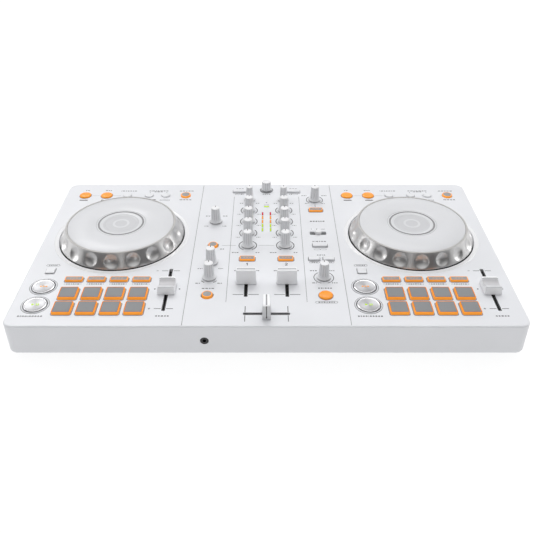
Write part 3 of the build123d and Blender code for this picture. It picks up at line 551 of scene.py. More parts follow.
PLAY_SIGN = [[(-3.4, -1.5), (-0.6, 0.0), (-3.4, 1.5)], bar(1.3, 0, 0.9, 3.0), bar(3.1, 0, 0.9, 3.0)]
CUE_SIGN = [bar(-2.4, 0, 1.7, 1.7), bar(0.3, 0, 1.7, 1.7), bar(3.0, 0, 1.7, 1.7)]


def is_round(lo, hi):
    return abs((hi.x - lo.x) - (hi.y - lo.y)) < 0.5


def is_dome(lo, hi):
    return hi.x - lo.x > 13


def pad(shell, lo, hi):
    framed_key(shell, lo, hi, 1.5, 0.55, 0.85, rim_kind=2)


def lit_key(shell, lo, hi):
    if is_round(lo, hi):
        ringed_button(shell, lo, hi, 0.6)
    else:
        framed_key(shell, lo, hi, 1.2, 0.5, 0.75, marks=3)


def shift_key(shell, lo, hi):
    plain_key(shell, lo, hi, 1.2, 0.45)


def loop_key(shell, lo, hi):
    if is_dome(lo, hi):
        dome_button(shell, lo, hi)
    else:
        small_button(shell, lo, hi, 1)


def draw_keys(node, draw, *materials):
    """Draw every solid of a node as a key."""
    shell = Shell()
    for lo, hi in solids_of(node):
        draw(shell, lo, hi)
    return stand_in(node, shell, materials)


def make_keys():
    for n in (1, 2):
        draw_keys(f"pads_{n}", pad, PAD_ORANGE, PAD_TOP, RIM_ORANGE)
        draw_keys(f"mode_keys_{n}", lit_key, ORANGE, KEY_TOP).visible_glossy = False
        draw_keys(f"shift_button_{n}", shift_key, KEY_WHITE)
        transport_button(f"cue_button_{n}", LED_ORANGE, CUE_SIGN)
        transport_button(f"play_button_{n}", LED_GREEN, PLAY_SIGN)
        draw_keys(f"loop_keys_{n}", loop_key, DOME_ORANGE, KEY_WHITE)
        draw_keys(f"sync_button_{n}", ringed_button, ORANGE, KEY_TOP)
    draw_keys("load_keys", plain_key, KEY_WHITE)
    draw_keys("phones_cue_keys", lit_key, ORANGE, KEY_TOP)
    draw_keys("smart_keys", lit_key, ORANGE, KEY_TOP)
    draw_keys("effect_keys", plain_key, KEY_WHITE)
    draw_keys("effect_on_button", dome_button, DOME_ORANGE)


# ================================================================ jog wheels
DIMPLES = 18
DIMPLE_R = 7.3
DIMPLE_DEPTH = 2.0
# The rings of a dimple: how far out each lies, and how much deeper than a ball it sinks, for a soft rim.
DIMPLE_RINGS = ((0.22, 0.0), (0.42, 0.0), (0.6, 0.0), (0.76, 0.0), (0.88, 0.0), (0.955, 0.0),
                (0.99, 0.12), (1.02, 0.05), (1.06, 0.0))
RING_BASE_R, RING_BASE_Z = 66.5, 0.5
RING_TOP_R, RING_TOP_Z = 58.7, 15.0
ACROSS, UP = 12, 10       # faces along the edges of one sector


def jog_ring_shell(cx, cy):
    """The plated ring: one sector holds one round dimple in its sloping side, eighteen make a turn."""
    run, rise = RING_BASE_R - RING_TOP_R, RING_TOP_Z - RING_BASE_Z
    slant = hypot(run, rise)
    half_arc = pi / DIMPLES
    half_w = (RING_BASE_R + RING_TOP_R) / 2 * half_arc
    half_h = slant / 2
    ball_r = (DIMPLE_R ** 2 + DIMPLE_DEPTH ** 2) / (2 * DIMPLE_DEPTH)
    edge = [(1.0, -1 + 2 * i / UP) for i in range(UP)]
    edge += [(1 - 2 * i / ACROSS, 1.0) for i in range(ACROSS)]
    edge += [(-1.0, 1 - 2 * i / UP) for i in range(UP)]
    edge += [(-1 + 2 * i / ACROSS, -1.0) for i in range(ACROSS)]

    def place(sector, u, v, push):
        """A point at angle u (of half the sector) and height v (of half the slant), pushed inwards."""
        share = (v + 1) / 2
        r = RING_BASE_R - run * share - push * rise / slant
        z = RING_BASE_Z + rise * share - push * run / slant
        a = sector * 2 * half_arc + u * half_arc - pi / 2
        return (cx + r * cos(a), cy + r * sin(a), PANEL + z)

    shell = Shell()
    turn = []
    for sector in range(DIMPLES):
        rings = [shell.ring([place(sector, 0, 0, DIMPLE_DEPTH)])]
        for share, extra in DIMPLE_RINGS:
            reach = DIMPLE_R * share
            push = max(sqrt(ball_r ** 2 - reach ** 2) - (ball_r - DIMPLE_DEPTH), 0.0) + extra
            ring = []
            for u, v in edge:
                k = reach / hypot(u * half_w, v * half_h)
                ring.append(place(sector, u * k, v * k, push))
            rings.append(shell.ring(ring))
        rings.append(shell.ring([place(sector, u, v, 0.0) for u, v in edge]))
        for low, high in zip(rings, rings[1:]):
            shell.bridge(low, high)
        turn += [(sector * 2 - 1 + 2 * i / ACROSS) * half_arc - pi / 2 for i in range(ACROSS)]
    profile = [(RING_TOP_R, RING_TOP_Z), (58.58, 15.4), (58.25, 15.68), (57.8, 15.8), (57.0, 15.8),
               (56.75, 15.7), (56.6, 15.45), (56.6, 12.7), (52.6, 12.7), (52.6, 11.0), (55.9, 11.0),
               (61.6, 0.5), (61.6, -3.0), (66.2, -3.0), (66.5, -2.7), (RING_BASE_R, RING_BASE_Z)]
    rings = [shell.ring([(cx + r * cos(a), cy + r * sin(a), PANEL + z) for a in turn])
             for r, z in profile]
    # The last band, the ring's upright foot at the panel, is near black: a painted shadow in the gap round
    # the ring.
    for low, high, kind in zip(rings, rings[1:], [0] + [1] * 13 + [2]):
        shell.bridge(low, high, kind)
    return shell


def make_jog_wheels():
    for n, (x, y) in JOGS.items():
        ring = stand_in(f"jog_ring_{n}", jog_ring_shell(x, y), [SILVER, RIM_GREY, JOG_BASE_PAINTED_SHADOW])
        face_out(ring.data, weld=0.00001)
        top = box_mm(f"jog_platter_{n}")[1].z
        low = PANEL + 12.75
        profile = [(0.0, low), (56.4, low)]
        profile += [(r, top - drop) for r, drop in (
            (56.4, 0.35), (56.3, 0.12), (56.1, 0.0), (40.0, 0.0), (26.6, 0.0), (26.5, 0.06), (26.0, 0.06),
            (25.9, 0.0), (24.6, 0.0), (24.5, 0.2), (24.4, 0.3), (22.8, 0.3), (22.7, 0.2), (22.6, 0.0),
            (20.4, 0.0), (19.8, 0.35), (19.2, 0.42), (16.6, 0.42), (16.5, 0.48), (16.0, 0.48), (9.0, 0.48),
            (8.9, 0.4), (6.6, 0.4), (6.5, 0.48), (0.0, 0.48))]
        kinds = [0] * 6 + [2] * 3 + [0] + [1] * 5 + [0] * 3 + [3] * 4 + [0] * 3 + [3]
        shell = Shell()
        shell.lathe(profile, x, y, 192, kinds)
        shell.lathe([(0.0, PANEL - 8.0), (9.0, PANEL - 8.0), (9.0, low), (0.0, low)], x, y, 48)
        stand_in(f"jog_platter_{n}", shell, [PLATTER, PLATTER_GROOVE, PLATTER_INK, PLATTER_DISC])


# ================================================================ knobs
FLUTES = 12
FLUTE_DEPTH = 0.45
FLUTE_FACES = 10          # faces round each flute; the two at its bottom take a darker grey, painted shade in the groove
SKIRT_H = 0.75
KNOB_EDGE = 0.5
# Waist, top and skirt radius, and the height where the skirt's flare ends.
KNOB_SIZES = {"trim": (4.2, 3.5, 6.6, 4.6), "browse": (5.7, 5.3, 6.4, 1.6)}
COMMON_KNOB = (5.25, 4.5, 7.1, 4.8)


def knob_shell(x, y, base, top, waist_r, top_r, skirt_r, waist_z):
    """A grip with upright flutes on a flared skirt and a soft flat top; the flute bottoms and the skirt's
    foot take darker greys as painted shade and shadow, and the top a lighter white as a painted highlight.
    """
    edge = KNOB_EDGE
    foot = base + SKIRT_H
    profile = [(skirt_r - 0.3, base), (skirt_r, base + 0.2), (skirt_r, foot)]
    flare, body = 7, 6
    for i in range(1, flare + 1):
        t = i / flare
        profile.append((waist_r + (skirt_r - waist_r) * (1 - t) ** 2.6, foot + (waist_z - foot) * t))
    for i in range(1, body + 1):
        t = i / body
        profile.append((waist_r + (top_r - waist_r) * t, waist_z + (top - edge - waist_z) * t))
    profile += [(top_r - edge + edge * cos(a), top - edge + edge * sin(a)) for a in quarter(4)[1:]]
    profile += [(top_r * 0.78, top), (top_r * 0.7, top - 0.12), (0.0, top - 0.2)]

    def fluted(r, z, a):
        """The flutes fade in above the skirt and out under the top."""
        fade_in = min(max((z - waist_z + 1.0) / 1.4, 0.0), 1.0)
        fade_out = min(max((top - 0.3 - z) / 0.4, 0.0), 1.0)
        return r - FLUTE_DEPTH * fade_in * fade_out * (1 - abs(cos(a * FLUTES / 2))) ** 1.8

    def painted_groove_shade_kind(i):
        return 5 if i % FLUTE_FACES in (4, 5) else 0

    shell = Shell()
    # The skirt's foot takes a dark grey, a painted shadow under the knob, and the top a lighter white, a
    # painted highlight.
    kinds = [3] * 3 + [6] * (flare - 1) + [0] * (body + 1) + [2] * 7
    shell.lathe([(0.0, base)] + profile, x, y, FLUTES * FLUTE_FACES, kinds, fluted, painted_groove_shade_kind)
    return shell


def make_knobs():
    for node in BODY_OF:
        if "_knob" not in node:
            continue
        lo, hi = box_mm(node)
        x, y = middle(lo, hi)
        browse = node == "browse_knob"
        base = PANEL + (1.0 if browse else 0.6)
        top = hi.z - 0.04
        waist, top_r, skirt, flare = KNOB_SIZES.get(node.split("_")[0], COMMON_KNOB)
        shell = knob_shell(x, y, base, top, waist, top_r, skirt, PANEL + flare)
        if not browse:
            shell.prism(bar(x, y + top_r * 0.68, 0.8, top_r * 0.55), top - 0.4, top + 0.03, 1)
            shell.prism(bar(x, y + top_r - 0.02, 0.9, 0.4), top - 2.6, top - 0.3, 1)
            post = [(0.0, lo.z), (2.0, lo.z), (2.0, base + 1), (0.0, base + 1)]
            shell.lathe(post, x, y, 24, [4] * 3)
        stand_in(node, shell, [KNOB, MARK, KNOB_TOP_PAINTED_HIGHLIGHT, KNOB_FOOT_PAINTED_SHADOW, STEEL, KNOB_GROOVE_PAINTED_SHADE, KNOB])


# ================================================================ fader caps
CAP_BASE = PANEL + 0.6
BLADE = bar(0, 0, 1.2, 4.0)
BLADE_LOW = PANEL - 9.8


def tower_shell(x, y, turn, extra=0.0):
    """A tall cap across a fader's travel, with a flared foot and a grey line over its top.

    The crossfader's cap is turned and its line runs down both ends to a small dot, and its sides below the
    rounded top take a grey copy of the cap's white, painted shade; the channel caps are longer by extra.
    """
    base = CAP_BASE
    top = PANEL + 16.4
    long, thin = 17.6 + extra, 6.6
    corner = 0.9
    levels = [(18.7, 8.1, base), (18.8, 8.2, base + 0.3), (18.5, 7.8, base + 1.6), (18.3, 7.4, base + 4.0),
              (18.0, 7.0, base + 9.0), (17.6, thin, top - 0.8)]
    levels = [(w + extra, d, z, corner) for w, d, z in levels]
    for a in quarter(5)[1:]:
        k = 0.8 * (1 - cos(a))
        levels.append((long - 2 * k, thin - 2 * k, top - 0.8 + 0.8 * sin(a), corner - k * 0.6))
    shell = Shell()
    cos_t, sin_t = cos(turn), sin(turn)

    def put(px, py, pz):
        return (x + px * cos_t - py * sin_t, y + px * sin_t + py * cos_t, pz)

    def strip(run, out_x, out_z, half, proud, kind):
        """A thin band along the cap's outline, which stands proud of it in the outward direction."""
        rails = []
        for side, grow in ((-half, proud), (half, proud), (half, -0.35), (-half, -0.35)):
            rails.append(shell.ring([put(p + out_x * grow, side, z + out_z * grow) for p, z in run]))
        shell.rod(rails, kind)

    rings = [shell.ring([put(px, py, z) for px, py in rounded_rect(w, d, r)()]) for w, d, z, r in levels]
    for i, (low, high) in enumerate(zip(rings, rings[1:])):
        # The crossfader's sides take the grey copy of the cap's white: painted shade.
        shell.bridge(low, high, 4 if turn and i < 5 else 0)
    shell.face(reversed(rings[0]))
    shell.face(rings[-1])
    if turn:
        for end in (-1, 1):
            foot = (end * 9.26, base + 1.6)
            side = [foot, (end * 9.15, base + 4.0), (end * 9.0, base + 9.0), (end * 8.8, top - 0.8)]
            strip(side, end, 0, 0.45, 0.05, 1)
            strip([foot, (end * 9.22, base + 2.6)], end, 0, 0.62, 0.1, 5)
        ridge = [(-8.0, top), (8.0, top)]
        strip(ridge, 0, 1, 0.75, 0.05, 3)
        strip(ridge, 0, 1, 0.22, 0.08, 1)
    else:
        reach = long / 2 - 0.6
        strip([(-reach, top), (reach, top)], 0, 1, 1.5, 0.03, 3)
    shell.prism([put(px, py, 0)[:2] for px, py in BLADE], BLADE_LOW, base + 0.2, 2)
    return shell


SADDLE_ROWS, SADDLE_COLUMNS = 45, 13
DISH_DEPTH = 2.6
DISH_REACH = 6.7


def saddle_shell(x, y):
    """The low tempo cap: dished from front to back between two flat crests."""
    base = CAP_BASE
    top = PANEL + 9.0
    foot_w, foot_d = 16.6, 20.0
    top_w, top_d = 15.4, 17.8
    land_end = 8.2
    dish_r = (DISH_REACH ** 2 + DISH_DEPTH ** 2) / (2 * DISH_DEPTH)

    def height(v):
        reach = abs(v) * top_d / 2
        dish = dish_r - DISH_DEPTH - sqrt(dish_r ** 2 - min(reach, DISH_REACH) ** 2)
        shoulder = 0.0 if reach < land_end else -0.7 * ((reach - land_end) / 0.7) ** 2
        return top + min(dish, 0.0) + shoulder

    def painted_shade_row_kind(v):
        """A white rear crest with a dark line inside it, a grey dish and a paler front crest: the line, the
        dish and the front crest are painted shade, darker copies of the cap's white.
        """
        reach = v * top_d / 2
        if reach > 6.6:
            return 0
        if reach > 6.1:
            return 3
        return 5 if reach > 5.4 or reach < -6.6 else 4

    shell = Shell()
    grid = []
    for j in range(SADDLE_ROWS):
        v = -1 + 2 * j / (SADDLE_ROWS - 1)
        row = []
        for i in range(SADDLE_COLUMNS):
            u = -1 + 2 * i / (SADDLE_COLUMNS - 1)
            edge = max(0.0, abs(u) - 0.8) / 0.2
            pull = 1 - 0.05 * edge
            row.append((x + u * top_w / 2, y + v * pull * top_d / 2, height(v) - 0.5 * edge ** 2))
        grid.append(shell.ring(row))
    for j, (low, high) in enumerate(zip(grid, grid[1:])):
        kind = painted_shade_row_kind(-1 + 2 * (j + 0.5) / (SADDLE_ROWS - 1))
        for i in range(SADDLE_COLUMNS - 1):
            shell.face((low[i], low[i + 1], high[i + 1], high[i]), kind)
    border = grid[0][:] + [row[-1] for row in grid[1:]] + grid[-1][-2::-1] + [row[0] for row in grid[-2:0:-1]]
    rings = [border]
    for k, drop in ((0.35, 0.25), (0.75, 0.7), (1.0, 0.94), (1.0, 1.0)):
        widen, deepen = 1 - k + k * foot_w / top_w, 1 - k + k * foot_d / top_d
        ring = []
        for px, py, pz in [shell.points[i] for i in border]:
            ring.append((x + (px - x) * widen, y + (py - y) * deepen, pz + (base - pz) * drop))
        rings.append(shell.ring(ring))
    for low, high in zip(rings, rings[1:]):
        shell.bridge(low, high)
    shell.face(rings[-1])
    shell.prism(BLADE, BLADE_LOW, base + 0.2, 2, x, y)
    return shell


def make_fader_caps():
    paints = [CAP_WHITE, MARK, STEEL, CAP_BAND, CAP_SIDE_PAINTED_SHADE, BLACK]
    lo, hi = box_mm("crossfader_cap")
    stand_in("crossfader_cap", tower_shell(*middle(lo, hi), pi / 2), paints)
    plain = max(hi.x - lo.x, hi.y - lo.y)
    for n in (1, 2):
        node = f"channel_fader_cap_{n}"
        lo, hi = box_mm(node)
        stand_in(node, tower_shell(*middle(lo, hi), 0.0, hi.x - lo.x - plain), paints)
    for n in (1, 2):
        node = f"tempo_fader_cap_{n}"
        # The dark line, the dish and the paler crest are darker copies of the cap's white: painted shade.
        paints = [CAP_WHITE, MARK_PALE_AND_PAINTED_SHADE, STEEL, MARK_PALE_AND_PAINTED_SHADE, CAP_DISH_PAINTED_SHADE, CAP_PALE_PAINTED_SHADE]
        stand_in(node, saddle_shell(*place_of(node)), paints)


def make_effect_switch():
    lo, hi = box_mm("effect_channel_switch")
    x, y = middle(lo, hi)
    low = PANEL - 1.5
    shell = Shell()
    shell.stack(rounded_rect(6.0, 5.2, 1.2), [(0.0, low), (0.0, PANEL + 0.5)], 0, x, y)
    cap = [(0.3, PANEL + 0.3), (0.0, PANEL + 0.5), (0.2, hi.z - 1.3)] + round_over(hi.z, 1.2, 0.25)
    shell.stack(rounded_rect(7.8, 7.2, 3.4), cap, 0, x, y)
    shell.prism(bar(x, y, 2.0, 2.0), lo.z, low, 1)
    stand_in("effect_channel_switch", shell, [SWITCH_GREY, BLACK])


# ================================================================ printed marks, and painted shade round the white keys
class Print:
    """Flat marks on the panel, a few hundredths of a millimetre thick."""

    def __init__(self, high):
        self.shell = Shell()
        self.low = PANEL - 0.02
        self.high = PANEL + high

    def patch(self, x, y, outline):
        self.shell.prism(outline, self.low, self.high, 0, x, y)

    def bar(self, x, y, w, h):
        self.patch(x, y, rounded_rect(w, h, min(w, h) * 0.3, 3)())

    def words(self, x, y, w, h, pattern):
        """A row of short bars that stands for a caption w long; pattern has a digit for each one's share."""
        gap = 0.8
        shares = [int(c) for c in pattern]
        unit = (w - gap * (len(shares) - 1)) / sum(shares)
        left = x - w / 2
        for share in shares:
            self.bar(left + share * unit / 2, y, share * unit, h * 1.15)
            left += share * unit + gap

    def captions(self, x, y, *rows):
        """Several captions round one place, each (dx, dy, w, h, pattern)."""
        for dx, dy, *look in rows:
            self.words(x + dx, y + dy, *look)

    def pair(self, x, y, dx, dy, *look):
        """The same caption on both sides of a place."""
        self.captions(x, y, (-dx, dy, *look), (dx, dy, *look))

    def path(self, points, width):
        """A line of even width along some points."""
        half = width / 2
        left, right = [], []
        for i, (px, py) in enumerate(points):
            ax, ay = points[max(i - 1, 0)]
            bx, by = points[min(i + 1, len(points) - 1)]
            length = hypot(bx - ax, by - ay)
            nx, ny = (ay - by) / length * half, (bx - ax) / length * half
            left.append((px + nx, py + ny))
            right.append((px - nx, py - ny))
        corners = ((left, self.low), (right, self.low), (right, self.high), (left, self.high))
        self.shell.rod([self.shell.ring([(*p, z) for p in side]) for side, z in corners])

    def line(self, x0, y0, x1, y1, width):
        self.path([(x0, y0), (x1, y1)], width)

    def ticks(self, x, y, near, far, width):
        """A short line on each side of a slot."""
        for side in (-1, 1):
            self.line(x + side * near, y, x + side * far, y, width)

    def arc(self, x, y, r, start, end, width, steps=20):
        turn = [radians(start + (end - start) * i / steps) for i in range(steps + 1)]
        self.path([(x + r * cos(a), y + r * sin(a)) for a in turn], width)

    def brackets(self, x, y, r, sweep, width):
        """Arcs to the right and the left of a knob."""
        for middle_angle in (0, 180):
            self.arc(x, y, r, middle_angle - sweep, middle_angle + sweep, width)

    def pill(self, x, y, w, h, width=0.35):
        """An outlined lozenge, in two halves."""
        r = h / 2
        turn = [radians(90 - 15 * i) for i in range(13)]
        for side in (1, -1):
            ends = [(x + side * (w / 2 - r + r * cos(a)), y + r * sin(a)) for a in turn]
            self.path([(x, y + r)] + ends + [(x, y - r)], width)

    def digit(self, x, y, number, size):
        """The figure 1 or 2, 3.4 mm tall at size 1."""
        width = 0.65 * size

        def stroke(*ends):
            self.path([(x + px * size, y + py * size) for px, py in ends], width)

        if number == 1:
            stroke((-0.75, 0.85), (0.15, 1.7))
            stroke((0.15, 1.7), (0.15, -1.7))
            return
        self.arc(x, y + 0.75 * size, 0.9 * size, 165, -40, width, 10)
        stroke((0.69, 0.17), (-0.95, -1.5))
        stroke((-1.1, -1.5), (1.1, -1.5))


grey, pale, dark = Print(0.05), Print(0.045), Print(0.055)
ARROW_LEFT = [(-0.8, 0), (0.8, -0.8), (0.8, 0.8)]
ARROW_DOWN = [(-0.9, 0.8), (0, -0.6), (0.9, 0.8)]
TEMPO_END = 30.6          # from the middle of a slot to the tick at its end
CHANNEL_END = 19.8


def deck_marks(n):
    """Captions, pills and ticks of one deck."""
    x, y = JOGS[n][0], place_of(f"loop_keys_{n}")[1]
    grey.captions(
        x, y, (-60.5, 13.0, 4.5, 1.1, "23"), (-35.0, 13.0, 7.5, 1.1, "322"),
        (-10.0, 11.7, 19.0, 1.2, "1423324"), (26.0, 11.9, 23.0, 1.2, "3423433"),
        (26.0, 9.6, 10.0, 1.1, "343"), (60.0, 11.7, 17.0, 1.2, "33233"), (60.5, -10.0, 14.0, 1.2, "4333"))
    for dx in (-60.5, -35.0):
        dark.bar(x + dx, y - 11.0, 9.6, 1.9)
    for x0, x1 in ((-51.5, -43.5), (-26.5, -17.5)):
        pale.line(x + x0, y, x + x1, y, 0.35)
    dark.bar(x + 20.5, y - 9.8, 9.0, 1.8)
    grey.pill(x + 36.0, y - 10.8, 12.0, 2.0)
    for dx in (16.0, 36.0):
        dark.patch(x + dx, y + 7.6, ARROW_LEFT)
    x, y = place_of(f"shift_button_{n}")
    grey.pill(x, y + 10.2, 13.5, 2.9)
    grey.words(x, y + 10.2, 8.5, 1.2, "22122")
    x, y = place_of(f"play_button_{n}")
    grey.words(x - 0.5, y - 16.6, 23.0, 1.5, "3233133333")
    for lo, hi in solids_of(f"mode_keys_{n}"):
        x = middle(lo, hi)[0]
        pale.pill(x, lo.y - 2.3, 17.0, 2.3, 0.3)
        grey.words(x, lo.y - 2.3, 12.5, 0.9, "232323")
    x, y = place_of(f"tempo_fader_cap_{n}")
    for dy in (TEMPO_END, -TEMPO_END):
        grey.ticks(x, y + dy, 2.6, 9.0, 0.75)
        grey.line(x - 14.6, y + dy, x - 12.4, y + dy, 0.6)
    grey.line(x - 13.5, y - TEMPO_END - 1.1, x - 13.5, y - TEMPO_END + 1.1, 0.6)
    for dx in (-12.2, 11.8):
        grey.patch(x + dx, y, circle(0.85, 16)())
    grey.words(x, y - 41.5, 12.5, 1.3, "33433")


def channel_marks(side, n):
    """Scales, captions and ticks of one mixer channel."""
    pale.line(side * 38.5, -100.0, side * 38.5, 105.0, 0.5)
    grey.pair(*place_of(f"trim_knob_{n}"), 9.5, -8.0, 4.2, 0.9, "22")
    for name in ("high", "mid", "low"):
        x, y = place_of(f"{name}_knob_{n}")
        grey.brackets(x, y, 9.4, 42, 1.0)
        grey.pair(x, y, 11.2, -8.6, 4.2, 0.95, "121")
    x, y = place_of(f"filter_knob_{n}")
    grey.brackets(x, y, 9.4, 62, 1.0)
    grey.captions(x, y, (-13.0, -13.6, 7.0, 1.1, "323"), (10.5, -13.6, 4.0, 1.1, "22"))
    dark.digit(side * 20.0 + 0.2, -37.2, n, 1.25)
    x, y = place_of(f"channel_fader_cap_{n}")
    for dy in (CHANNEL_END, -CHANNEL_END):
        grey.ticks(x, y + dy, 2.5, 12.6, 0.75)
    grey.ticks(x, y + CHANNEL_END, 11.6, 12.6, 1.3)
    x, y = middle(*solids_of("load_keys")[n - 1])
    grey.words(x, y + 7.3, 9.0, 1.1, "333")
    grey.pill(x, y - 6.6, 10.5, 2.2, 0.3)
    dark.patch(x - side * 2.5, y - 6.6, bar(0, 0, 1.2, 1.0))


def mixer_marks():
    channel_marks(-1, 1)
    channel_marks(1, 2)
    pale.line(-47.5, -2.0, -32.5, -2.0, 0.4)
    pale.line(-8.5, -2.0, 8.5, -2.0, 0.4)
    y = place_of("crossfader_cap")[1]
    for x in (-20.0, 20.0):
        for k in (-1, 1):
            grey.line(x, y + k * 2.3, x, y + k * 11.3, 0.75)
    grey.captions(*place_of("browse_knob"), (0.0, -10.3, 9.0, 1.1, "3323"))
    dark.bar(0.0, 90.6, 1.5, 1.5)


def left_column_marks():
    x, y = place_of("master_level_knob")
    grey.pair(x, y, 10.0, -10.0, 4.5, 0.95, "12")
    grey.pair(x, y, 9.8, 12.0, 5.0, 1.1, "22")
    grey.pair(*place_of("phones_mix_knob"), 10.5, -11.0, 4.8, 1.0, "221")
    x, y = place_of("phones_level_knob")
    grey.arc(x, y, 9.4, 215, 242, 0.8)
    grey.arc(x, y, 9.4, 298, 325, 0.8)
    grey.pair(x, y, 10.8, -9.6, 4.6, 0.95, "21")
    grey.words(-47.0, -9.0, 4.0, 1.1, "22")
    grey.captions(*middle(*solids_of("smart_keys")[0]), (0.0, 11.0, 12.0, 1.1, "3323"))


def right_column_marks():
    x, y = place_of("mic_level_knob")
    grey.brackets(x, y, 9.6, 50, 0.8)
    grey.pair(x, y, 12.0, 10.6, 6.0, 1.1, "221")
    grey.pair(x, y, 9.6, -8.2, 4.2, 0.95, "21")
    pale.line(57.0, 80.0, 57.0, 86.5, 0.6)
    x, y = place_of("effect_channel_switch")
    grey.digit(x - 7.0, y + 8.2, 1, 0.6)
    grey.digit(x - 1.0, y + 8.2, 2, 0.6)
    grey.words(x + 6.0, y + 8.2, 4.6, 1.0, "121")
    grey.captions(
        0.0, 0.0, (57.2, 48.0, 16.5, 1.7, "333223"), (56.8, 6.0, 14.5, 1.2, "213233"),
        (57.0, -20.4, 8.5, 1.3, "3323"), (49.4, -34.0, 6.0, 0.8, "232"), (64.2, -34.0, 6.0, 0.8, "232"))
    dark.patch(56.8, 2.6, ARROW_DOWN)
    for x, y, w in ((53.6, -9.6, 6.4), (60.2, -9.6, 6.4), (49.4, -34.0, 10.5), (64.2, -34.0, 10.5)):
        pale.pill(x, y, w, 2.2)
    x, y = place_of("effect_depth_knob")
    grey.arc(x, y, 9.8, -72, 58, 0.8)
    grey.arc(x, y, 9.8, 122, 252, 0.8)
    grey.captions(
        x, y, (-9.6, 11.8, 7.0, 1.2, "323"), (9.0, 11.8, 5.0, 1.2, "222"), (-9.6, -9.0, 5.0, 1.0, "31"),
        (10.2, -9.0, 5.6, 1.0, "222"))
    x, y = place_of("effect_on_button")
    grey.captions(x, y, (0.0, 11.8, 13.5, 1.3, "331333"), (0.0, -10.4, 15.5, 1.1, "3232322"))
    grey.pill(x, y - 10.4, 21.0, 2.9)


def key_outline_painted_shade():
    """A fine pale grey line round each white key, in two halves: painted shade of the gap round it."""
    for lo, hi in all_solids("load_keys", "effect_keys", "shift_button_1", "shift_button_2"):
        x, y, w, d = cap_place(lo, hi)
        points = [(x + px, y + py) for px, py in rounded_rect(w + 1.0, d + 1.0, 1.3, 4)()]
        half = len(points) // 2
        pale.path(points[:half + 1], 0.4)
        pale.path(points[half:] + points[:1], 0.4)


def make_marks():
    deck_marks(1)
    deck_marks(2)
    mixer_marks()
    left_column_marks()
    right_column_marks()
    key_outline_painted_shade()
    piece("panel_print_grey", grey.shell, [MARK])
    # The pale marks hold print and the painted shade round the white keys.
    piece("panel_pale_print_and_gap_shade", pale.shell, [MARK_PALE_AND_PAINTED_SHADE])
    piece("panel_print_dark", dark.shell, [MARK_DARK])


# ================================================================ small fixed parts
def above_panel(*profile):
    """Pairs whose second number is a height above the panel."""
    return [(r, PANEL + z) for r, z in profile]


def make_key_gap_painted_shade():
    """A painted shadow line between each square key or dome and the edge of its opening in the panel: a grey
    band where the gap's shade falls.
    """
    shell = Shell()
    low, high = PANEL - 0.3, PANEL + 0.04
    lit = all_solids("mode_keys_1", "mode_keys_2", "phones_cue_keys", "smart_keys")
    for lo, hi in all_solids("pads_1", "pads_2") + [box for box in lit if not is_round(*box)]:
        x, y, w, d = cap_place(lo, hi)
        inner = rounded_rect(w + 0.1, d + 0.1, 1.4, 4)()
        outer = rounded_rect(w + 2.1, d + 2.1, 2.2, 4)()
        lines = ((inner, low), (outer, low), (outer, high), (inner, high))
        shell.loop([shell.ring([(x + px, y + py, z) for px, py in line]) for line, z in lines], [0] * 4)
    for lo, hi in all_solids("loop_keys_1", "loop_keys_2", "effect_on_button"):
        if is_dome(lo, hi):
            x, y, w, _ = cap_place(lo, hi)
            r = w / 2 + 0.1
            shell.hoop([(r, low), (r + 0.55, low), (r + 0.55, high), (r, high)], x, y, 64)
    piece("key_gap_painted_shade_lines", shell, [KEY_GAP_PAINTED_SHADE])


def make_meters():
    """Coloured faces over the light windows: red at the rear, then orange, then green."""
    shell = Shell()
    windows = solids_of("meter_lenses")
    segments = [s for s in windows if s[1].x - s[0].x < 3]
    rows = sorted({round(middle(*s)[1], 1) for s in segments})
    kinds = dict(zip(rows, (0, 0, 1, 1, 2)))
    lift = [(0, -0.05), (0, 0.05), (0.12, 0.1)]
    for lo, hi in segments:
        x, y = middle(lo, hi)
        w, d = hi.x - lo.x, hi.y - lo.y
        shell.stack(rounded_rect(w + 0.5, d + 0.7, 0.3, 3), [(0, PANEL - 0.03), (0, hi.z - 0.02)], 4, x, y)
        face = [(inset, hi.z + z) for inset, z in lift]
        shell.stack(rounded_rect(w + 0.1, d + 0.1, 0.25, 3), face, kinds[round(y, 1)], x, y)
    lo, hi = next(s for s in windows if s[1].x - s[0].x > 3)
    x = middle(lo, hi)[0]
    split = lo.y + 2.6
    for y0, y1, kind in ((lo.y, split, 0), (split, hi.y, 3)):
        outline = rounded_rect(hi.x - lo.x, y1 - y0, 0.3, 3)
        shell.stack(outline, [(inset, hi.z + z) for inset, z in lift], kind, x, (y0 + y1) / 2)
    piece("meter_faces", shell, [LED_GREEN, LED_ORANGE, LED_RED, LED_PALE, MARK])


def make_bezels():
    """Raised rings round the transport buttons, each with a dark gap and a fine outer line; the ridge's inner
    wall and a liner in the gap are dark grey, painted shade.
    """
    shell = Shell()
    ridge = above_panel((11.75, -0.6), (11.75, 0.2), (11.9, 0.45), (12.3, 0.55), (12.7, 0.4), (12.95, 0.1),
                        (13.0, -0.6))
    line = above_panel((13.05, -0.3), (13.05, 0.05), (13.4, 0.05), (13.4, -0.3))
    # A dark grey liner in the gap round each button: painted shade.
    gap = above_panel((11.45, -3.2), (11.45, -0.12), (11.75, -0.12), (11.75, -3.2))
    for node in ("cue_button_1", "play_button_1", "cue_button_2", "play_button_2"):
        x, y = place_of(node)
        shell.hoop(ridge, x, y, 128, [1] + [0] * 6)
        shell.hoop(line, x, y, 128, [2] * 4)
        shell.hoop(gap, x, y, 96, [1] * 4)
    piece("transport_bezels", shell, [COVER, COLLAR_PAINTED_SHADE, MARK])


GROOVE_X = 77.1           # the middle of each of the panel's two grooves


